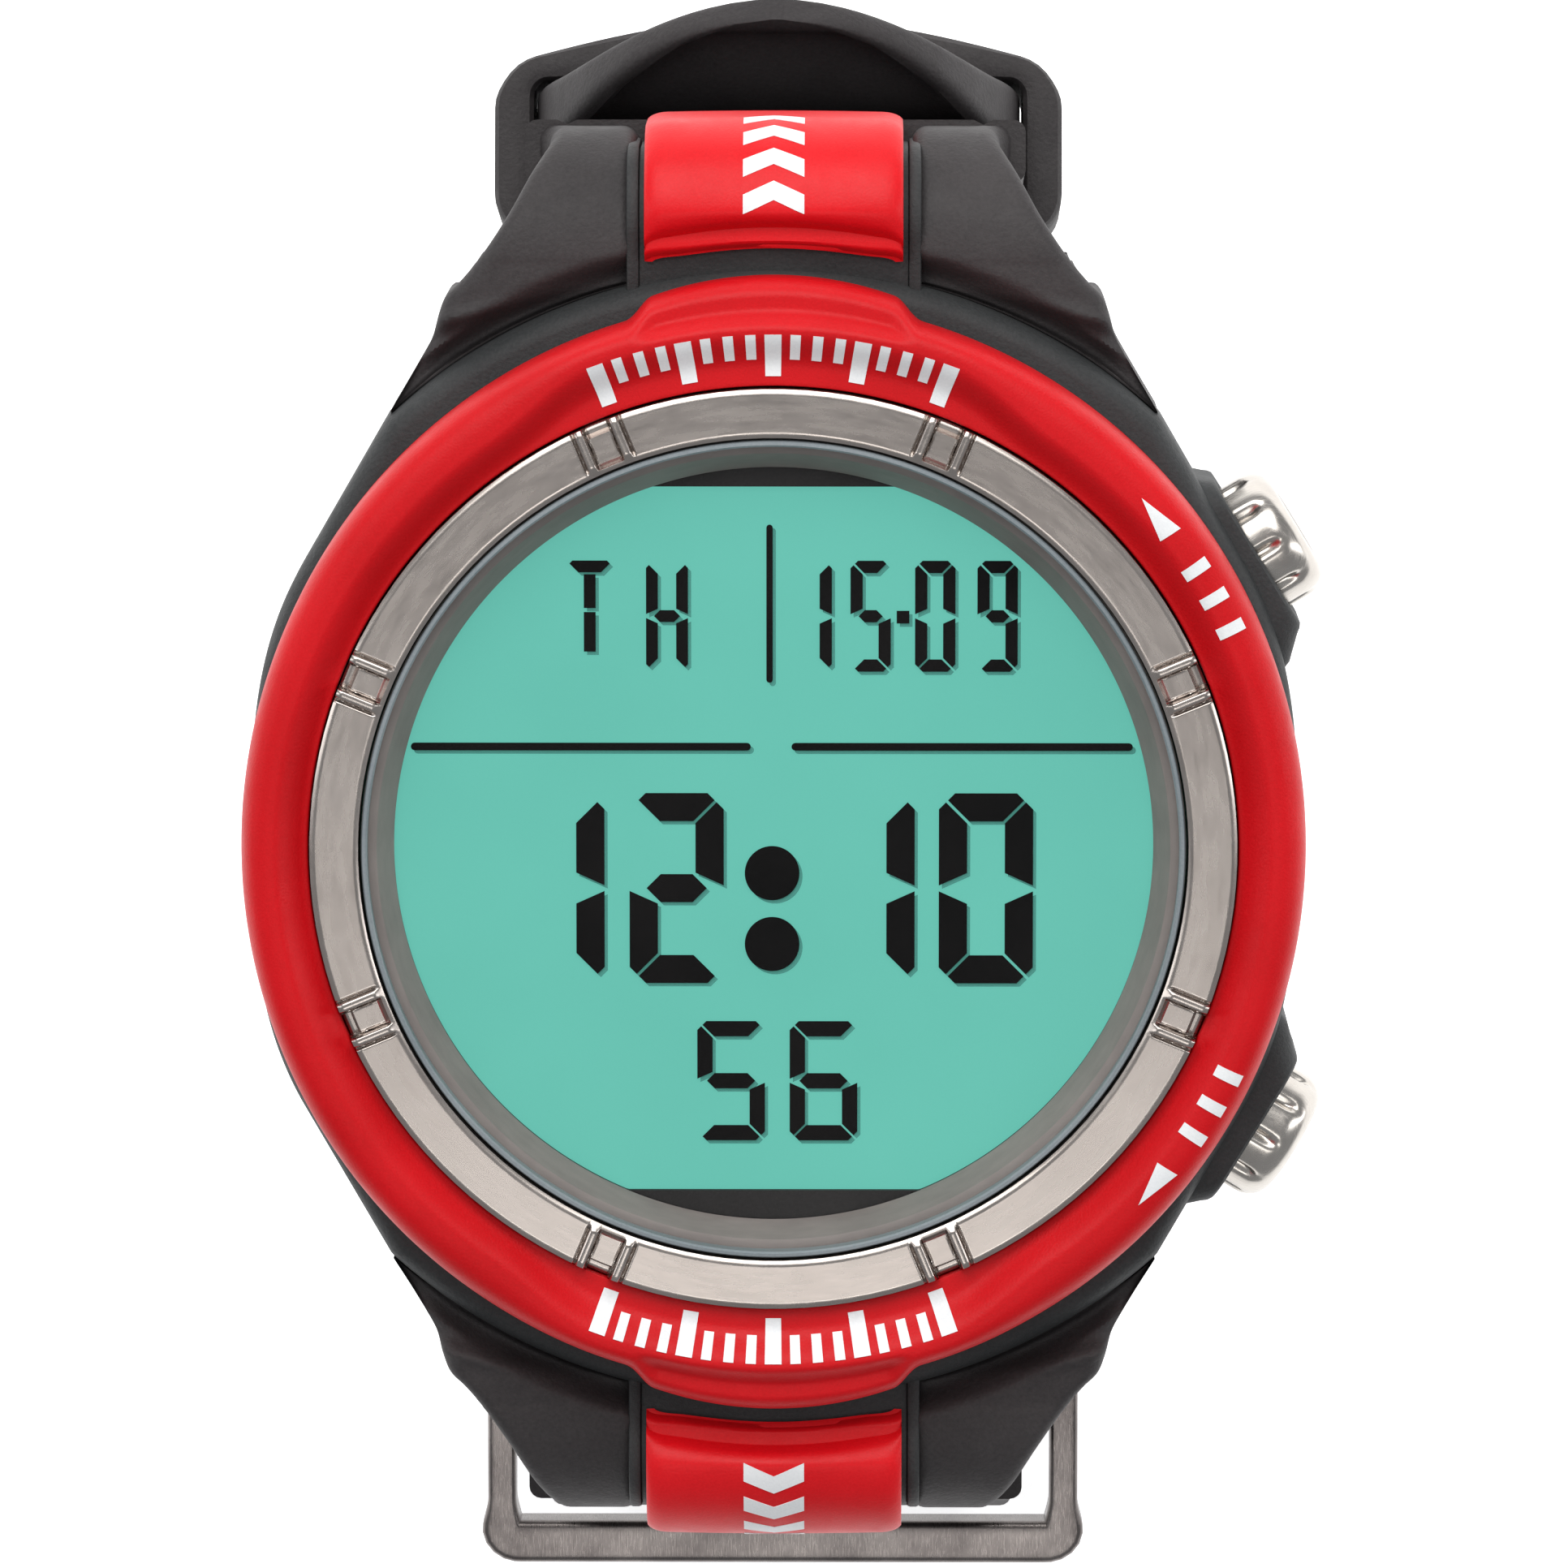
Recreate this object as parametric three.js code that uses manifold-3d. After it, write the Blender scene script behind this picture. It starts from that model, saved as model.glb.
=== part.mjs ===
// Wrist-watch dive computer on a closed, buckled rubber strap.
// Millimetres. +Z leaves the display, +Y points to twelve o'clock, +X to the button side.
// The origin is the centre of the case back's outer face, which lies on the wrist.
import * as THREE from 'three';
import { mergeVertices } from 'three/addons/utils/BufferGeometryUtils.js';
import Module from 'manifold-3d';

const wasm = await Module();
wasm.setup();

// ---- driving sizes ----
const FIT = 0.1; // clearance between two pieces that sit together
const GAP = 0.3; // clearance beside a piece that moves or is cut to another's shape

// case
const BEZEL_HALF_WIDTH = 23.5;
const BEZEL_HALF_LENGTH = 24.1;
const BEZEL_INNER_RADIUS = 20.5;
const BEZEL_TOP = 13.5;
const CASE_TOP = 9.7;
const CASE_BOTTOM = 0.9;
const CASE_RADIUS = 25.4;
const SHOULDER_ANGLE = 30; // where the straight shoulder leaves the round case, degrees
const SHOULDER_RADIUS = 24.2;
const CASE_SIDE = 23.3;
const TAB_REACH = 25.2;
const TAB_HALF_WIDTH = 5.9;

// inside of the case
const BAY_RADIUS = 14.9;
const MODULE_RADIUS = 17.2;
const MODULE_FLOOR = 6.5;
const BACK_RADIUS = 19.6;
const BACK_THICKNESS = 1.8;
const HATCH_RADIUS = 13.3;
const KEY_SPREAD = 9; // the hatch's two key holes
const KEY_RADIUS = 1.1;
const SCREW_CIRCLE = 17.8;
const SCREW_COUNT = 4;
const BATTERY_RADIUS = 12.2; // coin cell
const BATTERY_THICKNESS = 3.0;
const LENS_RADIUS = 17.85;
const LENS_THICKNESS = 1.0;
const VIEW_RADIUS = 16.8;
const VIEW_TOP = 15.9;
const VIEW_BOTTOM = -15.5;
const NOTCH_COUNT = 8;
const NOTCH_WIDTH = 1.05;

// buttons
const BUTTON_ANGLE = 31.5;
const BUTTON_HEIGHT = 4.9;
const BUTTON_RADIUS = 3.05;
const BUTTON_FACE = 26.9;
const BUTTON_TRAVEL = 0.8;
const BUTTON_FLUTES = 12;
const BOSS_FACE = 24.8;
const BOSS_WIDTH = 7.8;
const STEM_RADIUS = 0.9;

// lugs and strap
const LUG_HALF_WIDTH = 6.5;
const LUG_REACH = 31.4;
const LUG_BOTTOM = 1.5;
const INSERT_HALF_WIDTH = 5.7;
const INSERT_THICKNESS = 1.3;
const INSERT_CROWN = 0.5; // how far the insert stands above the lug's rails
const CROWN_RADIUS = 4.0;
const WING_INNER = 6.9;
const SPRING_BAR = { y: 28.4, z: 4.6, radius: 0.9, half: 10.2 };
const BAND_HALF_WIDTH = 11.2;
const UPPER_THICKNESS = 2.8;
const TAIL_THICKNESS = 2.6;
const STRAP_START = { y: 29.7, z: -2.0 };
const UPPER_LEAN = 11; // the upper half leans in by this many degrees on its way down
const LOOP_RADIUS = 22;
const LOOP_BOTTOM = -40.0; // middle of the upper half where it runs under the wrist
const TAIL_GAP = 0.6;
const TAIL_BEND = 10;
const TIP_BEND = 14;
const TIP_TURN = 38;
const TIP_LENGTH = 14;
const KEEPER_LENGTH = 7;
const KEEPER_HEIGHT = -17;

// buckle
const HEEL = { y: -28.0, z: LOOP_BOTTOM };
const PIN_RADIUS = 0.8;
const FRAME_HALF_WIDTH = 14.6;
const FRAME_BAR = 1.4;
const FRAME_END = -42.8;
const FRAME_END_BAR = 2.1;
const FRAME_DEPTH = 2.4;
const PRONG_HALF_WIDTH = 1.1;
const PRONG_THICKNESS = 1.3;
const HOLE_RADIUS = 1.3;
const HOLE_PITCH = 6.5;
const HOLE_COUNT = 5;

const RED = new THREE.Color(0.82, 0.1, 0.14);
const CHARCOAL = new THREE.Color(0.22, 0.23, 0.23);
const RUBBER = new THREE.Color(0.2, 0.19, 0.19);
const STEEL = new THREE.Color(0.62, 0.6, 0.57);

// ---- helpers ----
const rad = (degrees) => (degrees * Math.PI) / 180;

function solid(geometry) {
  const bare = geometry.clone();
  bare.deleteAttribute('normal');
  bare.deleteAttribute('uv');
  const merged = mergeVertices(bare, 1e-4);
  // A lathe profile that meets the axis leaves triangles of no area there.
  const corners = merged.index.array;
  const kept = [];
  for (let i = 0; i < corners.length; i += 3) {
    const [a, b, c] = corners.slice(i, i + 3);
    if (a !== b && b !== c && c !== a) kept.push(a, b, c);
  }
  return new wasm.Manifold(
    new wasm.Mesh({
      numProp: 3,
      vertProperties: new Float32Array(merged.attributes.position.array),
      triVerts: new Uint32Array(kept),
    }),
  );
}

function geometryOf(body) {
  const mesh = body.getMesh();
  const geometry = new THREE.BufferGeometry();
  geometry.setAttribute('position', new THREE.BufferAttribute(mesh.vertProperties, 3));
  geometry.setIndex(new THREE.BufferAttribute(mesh.triVerts, 1));
  return geometry;
}

function shapeOf(points) {
  return new THREE.Shape(points.map(([x, y]) => new THREE.Vector2(x, y)));
}

function lathe(profile, segments = 48, closed = true) {
  const points = profile.map(([r, z]) => new THREE.Vector2(r, z));
  if (closed) points.push(points[0].clone());
  return new THREE.LatheGeometry(points, segments).rotateX(Math.PI / 2);
}

// A ring of rectangular section between two radii and two heights.
const ring = (inner, outer, low, high, segments = 48) =>
  lathe([[inner, low], [outer, low], [outer, high], [inner, high]], segments);

const disc = (radius, low, high, segments = 48) =>
  new THREE.CylinderGeometry(radius, radius, high - low, segments)
    .rotateX(Math.PI / 2)
    .translate(0, 0, (low + high) / 2);

const block = (x0, x1, y0, y1, z0, z1) =>
  new THREE.BoxGeometry(x1 - x0, y1 - y0, z1 - z0)
    .translate((x0 + x1) / 2, (y0 + y1) / 2, (z0 + z1) / 2);

// Cylinder along X between two x values, round the point (y, z).
const rodX = (radius, x0, x1, y, z, segments = 24) =>
  new THREE.CylinderGeometry(radius, radius, x1 - x0, segments)
    .rotateZ(Math.PI / 2)
    .translate((x0 + x1) / 2, y, z);

// Extrudes a top-view outline from one height to another, with rounded rims.
function plate(points, low, high, bevel = 0, segments = 2) {
  return new THREE.ExtrudeGeometry(shapeOf(points), {
    depth: high - low - 2 * bevel,
    bevelEnabled: bevel > 0,
    bevelThickness: bevel,
    bevelSize: bevel,
    bevelOffset: -bevel,
    bevelSegments: segments,
    curveSegments: 8,
  }).translate(0, 0, low + bevel);
}

// Extrudes an outline given as (y, z) pairs along X, centred on x = 0.
function sidePlate(points, halfWidth, bevel = 0) {
  return plate(points, -halfWidth, halfWidth, bevel)
    .applyMatrix4(new THREE.Matrix4().makeBasis(
      new THREE.Vector3(0, 1, 0),
      new THREE.Vector3(0, 0, 1),
      new THREE.Vector3(1, 0, 0),
    ));
}

// Points on an arc round (y, z) from one angle to another, in degrees.
function arc(y, z, radius, from, to, steps) {
  return Array.from({ length: steps + 1 }, (_, i) => {
    const a = rad(from + ((to - from) * i) / steps);
    return [y + radius * Math.cos(a), z + radius * Math.sin(a)];
  });
}

// Closed outline of a band of even thickness that follows a path.
function ribbon(path, thickness) {
  const sides = [[], []];
  path.forEach(([y, z], i) => {
    const [y0, z0] = path[Math.max(i - 1, 0)];
    const [y1, z1] = path[Math.min(i + 1, path.length - 1)];
    const length = Math.hypot(y1 - y0, z1 - z0);
    const ny = -(z1 - z0) / length;
    const nz = (y1 - y0) / length;
    sides[0].push([y + (ny * thickness) / 2, z + (nz * thickness) / 2]);
    sides[1].push([y - (ny * thickness) / 2, z - (nz * thickness) / 2]);
  });
  return [...sides[0], ...sides[1].reverse()];
}

const mirrorY = (body) => body.mirror([0, 1, 0]);

const material = (color, roughness, metalness = 0, extra = {}) =>
  new THREE.MeshStandardMaterial({ color, roughness, metalness, ...extra });

const watch = new THREE.Group();

function add(name, shape, look, parent = watch) {
  const geometry = shape.isBufferGeometry ? shape : geometryOf(shape);
  const mesh = new THREE.Mesh(geometry, look);
  mesh.name = name;
  parent.add(mesh);
  return mesh;
}

// ---- case ----
// Radius of the case outline: narrow at the sides, a straight shoulder, then round at the ends.
function caseRadius(degrees) {
  const fromSide = Math.min(Math.abs(degrees % 180), 180 - Math.abs(degrees % 180));
  if (fromSide < SHOULDER_ANGLE) {
    const blend = Math.sin(rad((90 * fromSide) / SHOULDER_ANGLE)) ** 2;
    return CASE_SIDE + (SHOULDER_RADIUS - CASE_SIDE) * blend;
  }
  return Math.min(CASE_RADIUS, SHOULDER_RADIUS / Math.cos(rad(fromSide - SHOULDER_ANGLE)));
}

function caseOutline(step = 6) {
  return Array.from({ length: 360 / step }, (_, i) => {
    const angle = i * step;
    return [caseRadius(angle) * Math.cos(rad(angle)), caseRadius(angle) * Math.sin(rad(angle))];
  });
}

// Side view of the central lug, crowned at its outer end.
function lugSide() {
  return [
    [20, LUG_BOTTOM],
    [LUG_REACH - 1, LUG_BOTTOM],
    [LUG_REACH, LUG_BOTTOM + 0.8],
    ...arc(LUG_REACH - CROWN_RADIUS, CASE_TOP + 0.4 - CROWN_RADIUS, CROWN_RADIUS, 0, 90, 8),
    [LUG_REACH - CROWN_RADIUS - 0.9, CASE_TOP],
    [20, CASE_TOP],
  ];
}

// Side view of the red insert that lies in the lug's groove.
function insertSide(outer, inner) {
  const y = LUG_REACH - CROWN_RADIUS;
  const z = CASE_TOP + 0.4 - CROWN_RADIUS;
  return [
    [25.2, z + inner],
    ...arc(y, z, inner, 90, 0, 8),
    [y + inner, LUG_BOTTOM + 0.6],
    [y + outer, LUG_BOTTOM + 0.6],
    ...arc(y, z, outer, 0, 90, 8),
    [y - 0.7, z + outer - 0.15],
    [25.2, z + outer - 0.35],
  ];
}

const insertOuter = CROWN_RADIUS + INSERT_CROWN;
const insertInner = insertOuter - INSERT_THICKNESS;

function insertSolid() {
  const body = solid(sidePlate(insertSide(insertOuter, insertInner), INSERT_HALF_WIDTH, 0.35));
  return body.subtract(solid(disc(TAB_REACH + 1.4, 0, 20, 72)));
}

function lugSolid() {
  const groove = solid(sidePlate(
    insertSide(insertOuter + 3, insertInner - FIT),
    INSERT_HALF_WIDTH + 2 * FIT,
  )).subtract(solid(disc(TAB_REACH + 1.3, 0, 20, 72)));
  const pinBore = rodX(SPRING_BAR.radius + 2 * FIT, -9, 9, SPRING_BAR.y, SPRING_BAR.z);
  return solid(sidePlate(lugSide(), LUG_HALF_WIDTH, 0.25)).subtract(groove).subtract(solid(pinBore));
}

// Turns a piece modelled along +X at the watch's centre onto one button's axis.
function onButtonAxis(geometry, side) {
  return geometry.translate(0, 0, BUTTON_HEIGHT).rotateZ(rad(side * BUTTON_ANGLE));
}

const WELL_FLOOR = 22.0;
const CLIP_FACE = 17.0;

function buttonBoss(side) {
  const half = BOSS_WIDTH / 2;
  const outline = [
    [19, -half - 1.6],
    [BOSS_FACE - 1.4, -half - 1.2],
    [BOSS_FACE, -half],
    [BOSS_FACE, half],
    [BOSS_FACE - 1.4, half + 1.2],
    [19, half + 1.6],
  ];
  return onButtonAxis(plate(outline, -3.9, 3.9, 0.5, 1), side);
}

function buttonBore(side) {
  const steps = [
    [0, 13],
    [1.8, 13],
    [1.8, CLIP_FACE],
    [STEM_RADIUS + FIT, CLIP_FACE],
    [STEM_RADIUS + FIT, WELL_FLOOR - 1],
    [1.7, WELL_FLOOR - 1],
    [1.7, WELL_FLOOR],
    [BUTTON_RADIUS + GAP, WELL_FLOOR],
    [BUTTON_RADIUS + GAP, 30],
    [0, 30],
  ];
  return onButtonAxis(lathe(steps, 32, false).rotateY(Math.PI / 2), side);
}

function caseBody() {
  let body = solid(plate(caseOutline(), CASE_BOTTOM, CASE_TOP, 0.8));
  for (const side of [1, -1]) body = body.add(solid(buttonBoss(side)));
  body = body.add(lugSolid()).add(mirrorY(lugSolid()));
  const inside = [
    [0, -1],
    [BACK_RADIUS + FIT, -1],
    [BACK_RADIUS + FIT, BACK_THICKNESS + FIT],
    [16.5, BACK_THICKNESS + FIT],
    [16.5, BACK_THICKNESS + 0.8],
    [15.5, BACK_THICKNESS + 0.8],
    [15.5, BACK_THICKNESS + FIT],
    [BAY_RADIUS, BACK_THICKNESS + FIT],
    [BAY_RADIUS, MODULE_FLOOR],
    [MODULE_RADIUS, MODULE_FLOOR],
    [MODULE_RADIUS, 20],
    [0, 20],
  ];
  body = body.subtract(solid(lathe(inside, 48, false)));
  for (const side of [1, -1]) body = body.subtract(solid(buttonBore(side)));
  for (let i = 0; i < SCREW_COUNT; i += 1) {
    const thread = disc(0.7 + FIT, BACK_THICKNESS - 1, 5.2, 16);
    body = body.subtract(solid(atScrew(thread, i)));
  }
  const port = disc(1.6, -1, 5.2, 24).translate(-21.4, 0, 0);
  return body.subtract(solid(port));
}

function atScrew(geometry, index) {
  return geometry.translate(SCREW_CIRCLE, 0, 0).rotateZ(rad(45 + (360 * index) / SCREW_COUNT));
}

// Cross-section of the bezel: dished inner band, crest, rounded outer band.
function bezelRing() {
  const low = CASE_TOP + FIT;
  const profile = [
    [BEZEL_INNER_RADIUS, low],
    [BEZEL_HALF_LENGTH - 0.2, low],
    [BEZEL_HALF_LENGTH, low + 0.3],
    [BEZEL_HALF_LENGTH, low + 1.2],
    [BEZEL_HALF_LENGTH - 0.25, low + 2.1],
    [BEZEL_HALF_LENGTH - 0.8, low + 2.9],
    [BEZEL_HALF_LENGTH - 1.5, BEZEL_TOP - 0.15],
    [BEZEL_HALF_LENGTH - 2.0, BEZEL_TOP],
    [BEZEL_HALF_LENGTH - 2.5, BEZEL_TOP - 0.15],
    [BEZEL_INNER_RADIUS + 0.6, BEZEL_TOP - 0.55],
    [BEZEL_INNER_RADIUS, BEZEL_TOP - 0.8],
  ];
  const geometry = lathe(profile, 72);
  // The outside narrows towards three and nine o'clock; the bore stays round.
  const place = geometry.attributes.position;
  for (let i = 0; i < place.count; i += 1) {
    const x = place.getX(i);
    const y = place.getY(i);
    const r = Math.hypot(x, y);
    const narrow = (BEZEL_HALF_LENGTH - BEZEL_HALF_WIDTH) * Math.cos(Math.atan2(y, x)) ** 2;
    const share = (r - BEZEL_INNER_RADIUS) / (BEZEL_HALF_LENGTH - BEZEL_INNER_RADIUS);
    const scale = (r - narrow * share) / r;
    place.setXY(i, x * scale, y * scale);
  }
  const root = TAB_HALF_WIDTH + 0.9;
  const tab = plate([
    [-root, 22.6],
    [root, 22.6],
    [TAB_HALF_WIDTH + 0.2, 24.3],
    [TAB_HALF_WIDTH - 0.2, 24.75],
    [3, TAB_REACH - 0.1],
    [0, TAB_REACH],
    [-3, TAB_REACH - 0.1],
    [-TAB_HALF_WIDTH + 0.2, 24.75],
    [-TAB_HALF_WIDTH - 0.2, 24.3],
  ], low, BEZEL_TOP - 0.9, 0.4);
  return solid(geometry).add(solid(tab)).add(mirrorY(solid(tab)));
}

// ---- display stack ----
function retainingRing() {
  const low = CASE_TOP + FIT;
  const top = BEZEL_TOP - 0.3;
  let body = solid(lathe([
    [LENS_RADIUS + 0.5, low],
    [BEZEL_INNER_RADIUS - FIT, low],
    [BEZEL_INNER_RADIUS - FIT, top - 0.2],
    [BEZEL_INNER_RADIUS - FIT - 0.2, top],
    [LENS_RADIUS + 0.6, top - 0.1],
    [LENS_RADIUS + 0.5, top - 0.2],
  ], 48));
  for (let i = 0; i < NOTCH_COUNT; i += 1) {
    const angle = rad((360 * (i + 0.5)) / NOTCH_COUNT);
    const notch = block(18.8, 21, -NOTCH_WIDTH / 2, NOTCH_WIDTH / 2, top - 0.8, top + 1).rotateZ(angle);
    body = body.subtract(solid(notch));
    for (const side of [1, -1]) {
      const middle = side * (NOTCH_WIDTH / 2 + 0.28);
      const ridge = block(18.6, 20.3, middle - 0.2, middle + 0.2, top - 0.6, top + 0.22).rotateZ(angle);
      body = body.add(solid(ridge));
    }
  }
  return body;
}

// The window's outline: a circle cut flat above and below.
function windowOutline(radius, top, bottom) {
  const high = (Math.asin(top / radius) * 180) / Math.PI;
  const low = (Math.asin(bottom / radius) * 180) / Math.PI;
  return [...arc(0, 0, radius, low, high, 18), ...arc(0, 0, radius, 180 - high, 180 - low, 18)];
}

function displayMask() {
  const opening = plate(windowOutline(VIEW_RADIUS, VIEW_TOP, VIEW_BOTTOM), 9, 12);
  return solid(disc(MODULE_RADIUS - FIT, 10.45, 10.75)).subtract(solid(opening));
}

function reflectorRing() {
  return lathe([
    [VIEW_RADIUS, 10.85],
    [LENS_RADIUS + 0.35, 10.85],
    [LENS_RADIUS + 0.35, 12.2],
    [LENS_RADIUS, 12.2],
  ], 48);
}

const LENS_LOW = 12.25;

// ---- back ----
function caseBack() {
  let body = solid(lathe([
    [HATCH_RADIUS + GAP, 0],
    [BACK_RADIUS - 0.5, 0],
    [BACK_RADIUS, 0.5],
    [BACK_RADIUS, BACK_THICKNESS],
    [HATCH_RADIUS + GAP, BACK_THICKNESS],
  ], 48));
  for (let i = 0; i < SCREW_COUNT; i += 1) {
    body = body.subtract(solid(atScrew(disc(0.8, -1, 3, 16), i)));
    body = body.subtract(solid(atScrew(disc(1.4, -1, 0.9, 24), i)));
  }
  return body.subtract(solid(disc(1.1, -1, 3, 16).translate(-18.0, 0, 0)));
}

function backScrew() {
  const head = disc(1.25, 0.1, 0.8, 24);
  const shank = disc(0.7, 0.5, 5.0, 16);
  const slot = block(-1.4, 1.4, -0.2, 0.2, 0, 0.4);
  return solid(head).add(solid(shank)).subtract(solid(slot));
}

// The hatch has two key holes outside and three bayonet ears inside.
function batteryHatch() {
  let body = solid(lathe([
    [0, 0],
    [HATCH_RADIUS - 0.3, 0],
    [HATCH_RADIUS, 0.3],
    [HATCH_RADIUS, 1.0],
    [HATCH_RADIUS - 0.6, 1.0],
    [HATCH_RADIUS - 0.6, 1.7],
    [HATCH_RADIUS, 1.7],
    [HATCH_RADIUS, 2.3],
    [0, 2.3],
  ], 48, false));
  for (let i = 0; i < 3; i += 1) {
    const ear = plate([
      ...arc(0, 0, HATCH_RADIUS - 1, -12, 12, 4),
      ...arc(0, 0, HATCH_RADIUS + 1.2, 12, -12, 4),
    ], BACK_THICKNESS + 0.15, 2.3).rotateZ(rad(120 * i));
    body = body.add(solid(ear));
  }
  for (const x of [-KEY_SPREAD, KEY_SPREAD]) {
    body = body.subtract(solid(disc(KEY_RADIUS, -1, 0.9, 20).translate(x, 0, 0)));
  }
  return body;
}

const batteryLow = 2.5;
const batteryHigh = batteryLow + BATTERY_THICKNESS;

function batteryTray() {
  return ring(BATTERY_RADIUS + 0.15, BATTERY_RADIUS + 0.9, batteryLow, batteryHigh, 48);
}

function contactSpring() {
  const leaf = ribbon([[-9, batteryHigh + 0.2], [-3, batteryHigh + 0.45], [3, batteryHigh + 0.45],
    [9, batteryHigh + 0.2]], 0.2);
  return sidePlate(leaf, 1.2);
}

// ---- buttons ----
// Fluted push cap, hollow behind for its spring.
function buttonCap(side) {
  const outline = [];
  for (let i = 0; i < BUTTON_FLUTES; i += 1) {
    const pitch = 360 / BUTTON_FLUTES;
    for (const [turn, depth] of [[0, 0], [0.5, 0], [0.62, 0.28], [0.88, 0.28]]) {
      const a = rad(pitch * (i + turn));
      outline.push([(BUTTON_RADIUS - depth) * Math.cos(a), (BUTTON_RADIUS - depth) * Math.sin(a)]);
    }
  }
  const low = WELL_FLOOR + BUTTON_TRAVEL + 0.9;
  const shell = solid(plate(outline, low, BUTTON_FACE, 0.35));
  const hollow = solid(disc(2.2, low - 1, BUTTON_FACE - 1.3, 32));
  const body = shell.subtract(hollow).add(solid(disc(STEM_RADIUS + 0.5, low + 1.2, BUTTON_FACE - 1.0, 24)));
  const socket = solid(disc(STEM_RADIUS + FIT / 2, low - 1, BUTTON_FACE - 1.5, 24));
  return onButtonAxis(geometryOf(body.subtract(socket)).rotateY(Math.PI / 2), side);
}

function buttonStem(side) {
  const clip = 16.6;
  return onButtonAxis(lathe([
    [0, 14.9],
    [STEM_RADIUS, 14.9],
    [STEM_RADIUS, clip],
    [STEM_RADIUS - 0.25, clip],
    [STEM_RADIUS - 0.25, clip + 0.35],
    [STEM_RADIUS, clip + 0.35],
    [STEM_RADIUS, BUTTON_FACE - 1.55],
    [0, BUTTON_FACE - 1.55],
  ], 24, false).rotateY(Math.PI / 2), side);
}

function buttonClip(side) {
  const clip = ring(STEM_RADIUS - 0.2, 1.5, 16.65, 16.9, 24);
  const mouth = block(-0.5, 0.5, 0, 3, 16, 18);
  return onButtonAxis(geometryOf(solid(clip).subtract(solid(mouth))).rotateY(Math.PI / 2), side);
}

function buttonSeal(side) {
  const seal = new THREE.TorusGeometry(1.32, 0.3, 6, 20).translate(0, 0, WELL_FLOOR - 0.5);
  return onButtonAxis(seal.rotateY(Math.PI / 2), side);
}

class Helix extends THREE.Curve {
  constructor(radius, low, high, turns) {
    super();
    Object.assign(this, { radius, low, high, turns });
  }

  getPoint(t) {
    const a = 2 * Math.PI * this.turns * t;
    return new THREE.Vector3(
      this.radius * Math.cos(a),
      this.radius * Math.sin(a),
      this.low + (this.high - this.low) * t,
    );
  }
}

function buttonSpring(side) {
  const wire = shapeOf(arc(0, 0, 0.16, 0, 300, 5));
  const path = new Helix(1.82, WELL_FLOOR + 0.3, BUTTON_FACE - 1.6, 4);
  const coil = new THREE.ExtrudeGeometry(wire, { steps: 44, extrudePath: path });
  return onButtonAxis(coil.rotateY(Math.PI / 2), side);
}

function buttonSwitch(side) {
  return onButtonAxis(block(13.25, 13.95, -1.5, 1.5, -0.3, 1.6), side);
}

// ---- strap ----
const lean = rad(UPPER_LEAN);
const loopCentre = (() => {
  const centreZ = LOOP_BOTTOM + LOOP_RADIUS;
  const bendZ = centreZ - LOOP_RADIUS * Math.sin(lean);
  const bendY = STRAP_START.y - (STRAP_START.z - bendZ) * Math.tan(lean);
  return { y: bendY - LOOP_RADIUS * Math.cos(lean), z: centreZ };
})();
const layerStep = (UPPER_THICKNESS + TAIL_THICKNESS) / 2 + TAIL_GAP;

// Middle line of the upper half: down from the lug, round the loop and on to the buckle.
function upperPath() {
  return [
    [STRAP_START.y, STRAP_START.z],
    ...arc(loopCentre.y, loopCentre.z, LOOP_RADIUS, -UPPER_LEAN, -90, 16),
    [HEEL.y, HEEL.z],
  ];
}

// Middle line of the tail: down from the lower lug, round the buckle end, then outside the upper half.
function tailPath() {
  const low = LOOP_BOTTOM - layerStep;
  const bend = { y: HEEL.y + 0.8, z: low + TAIL_BEND };
  const outside = LOOP_RADIUS + layerStep;
  const climb = 11.0;
  const start = -STRAP_START.y;
  const reach = Math.hypot(start - bend.y, STRAP_START.z - bend.z);
  const aim = Math.atan2(STRAP_START.z - bend.z, start - bend.y);
  const tangent = (aim * 180) / Math.PI + (Math.acos(TAIL_BEND / reach) * 180) / Math.PI;
  const top = {
    y: loopCentre.y + outside * Math.cos(lean) + climb * Math.sin(lean),
    z: loopCentre.z - outside * Math.sin(lean) + climb * Math.cos(lean),
  };
  const tip = { y: top.y + TIP_BEND * Math.cos(lean), z: top.z - TIP_BEND * Math.sin(lean) };
  return {
    body: [
      [start, STRAP_START.z],
      ...arc(bend.y, bend.z, TAIL_BEND, tangent, 270, 10),
      ...arc(loopCentre.y, loopCentre.z, outside, -90, -UPPER_LEAN, 16),
      [top.y, top.z],
    ],
    tip: arc(tip.y, tip.z, TIP_BEND, 180 - UPPER_LEAN, 180 - UPPER_LEAN - TIP_TURN, 7),
  };
}

// Top view of one wing, on the +X side of the upper lug.
function wingOutline() {
  return [
    [WING_INNER, 20],
    [17.0, 18.9],
    [15.0, 22.3],
    [14.6, 24.2],
    [13.9, 24.6],
    [12.3, 27.0],
    [11.3, 28.9],
    [10.7, 30.3],
    [9.9, 31.1],
    [WING_INNER, 31.2],
  ];
}

function wingSide() {
  return [
    [16, 2.2],
    [25, 1.6],
    [27.9, -0.4],
    [28.4, -3.2],
    [31.2, -2.4],
    [31.2, 3.2],
    [30.5, 5.6],
    [29.0, 7.6],
    [26.6, 8.9],
    [24.0, 9.4],
    [16, 9.5],
  ];
}

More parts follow.
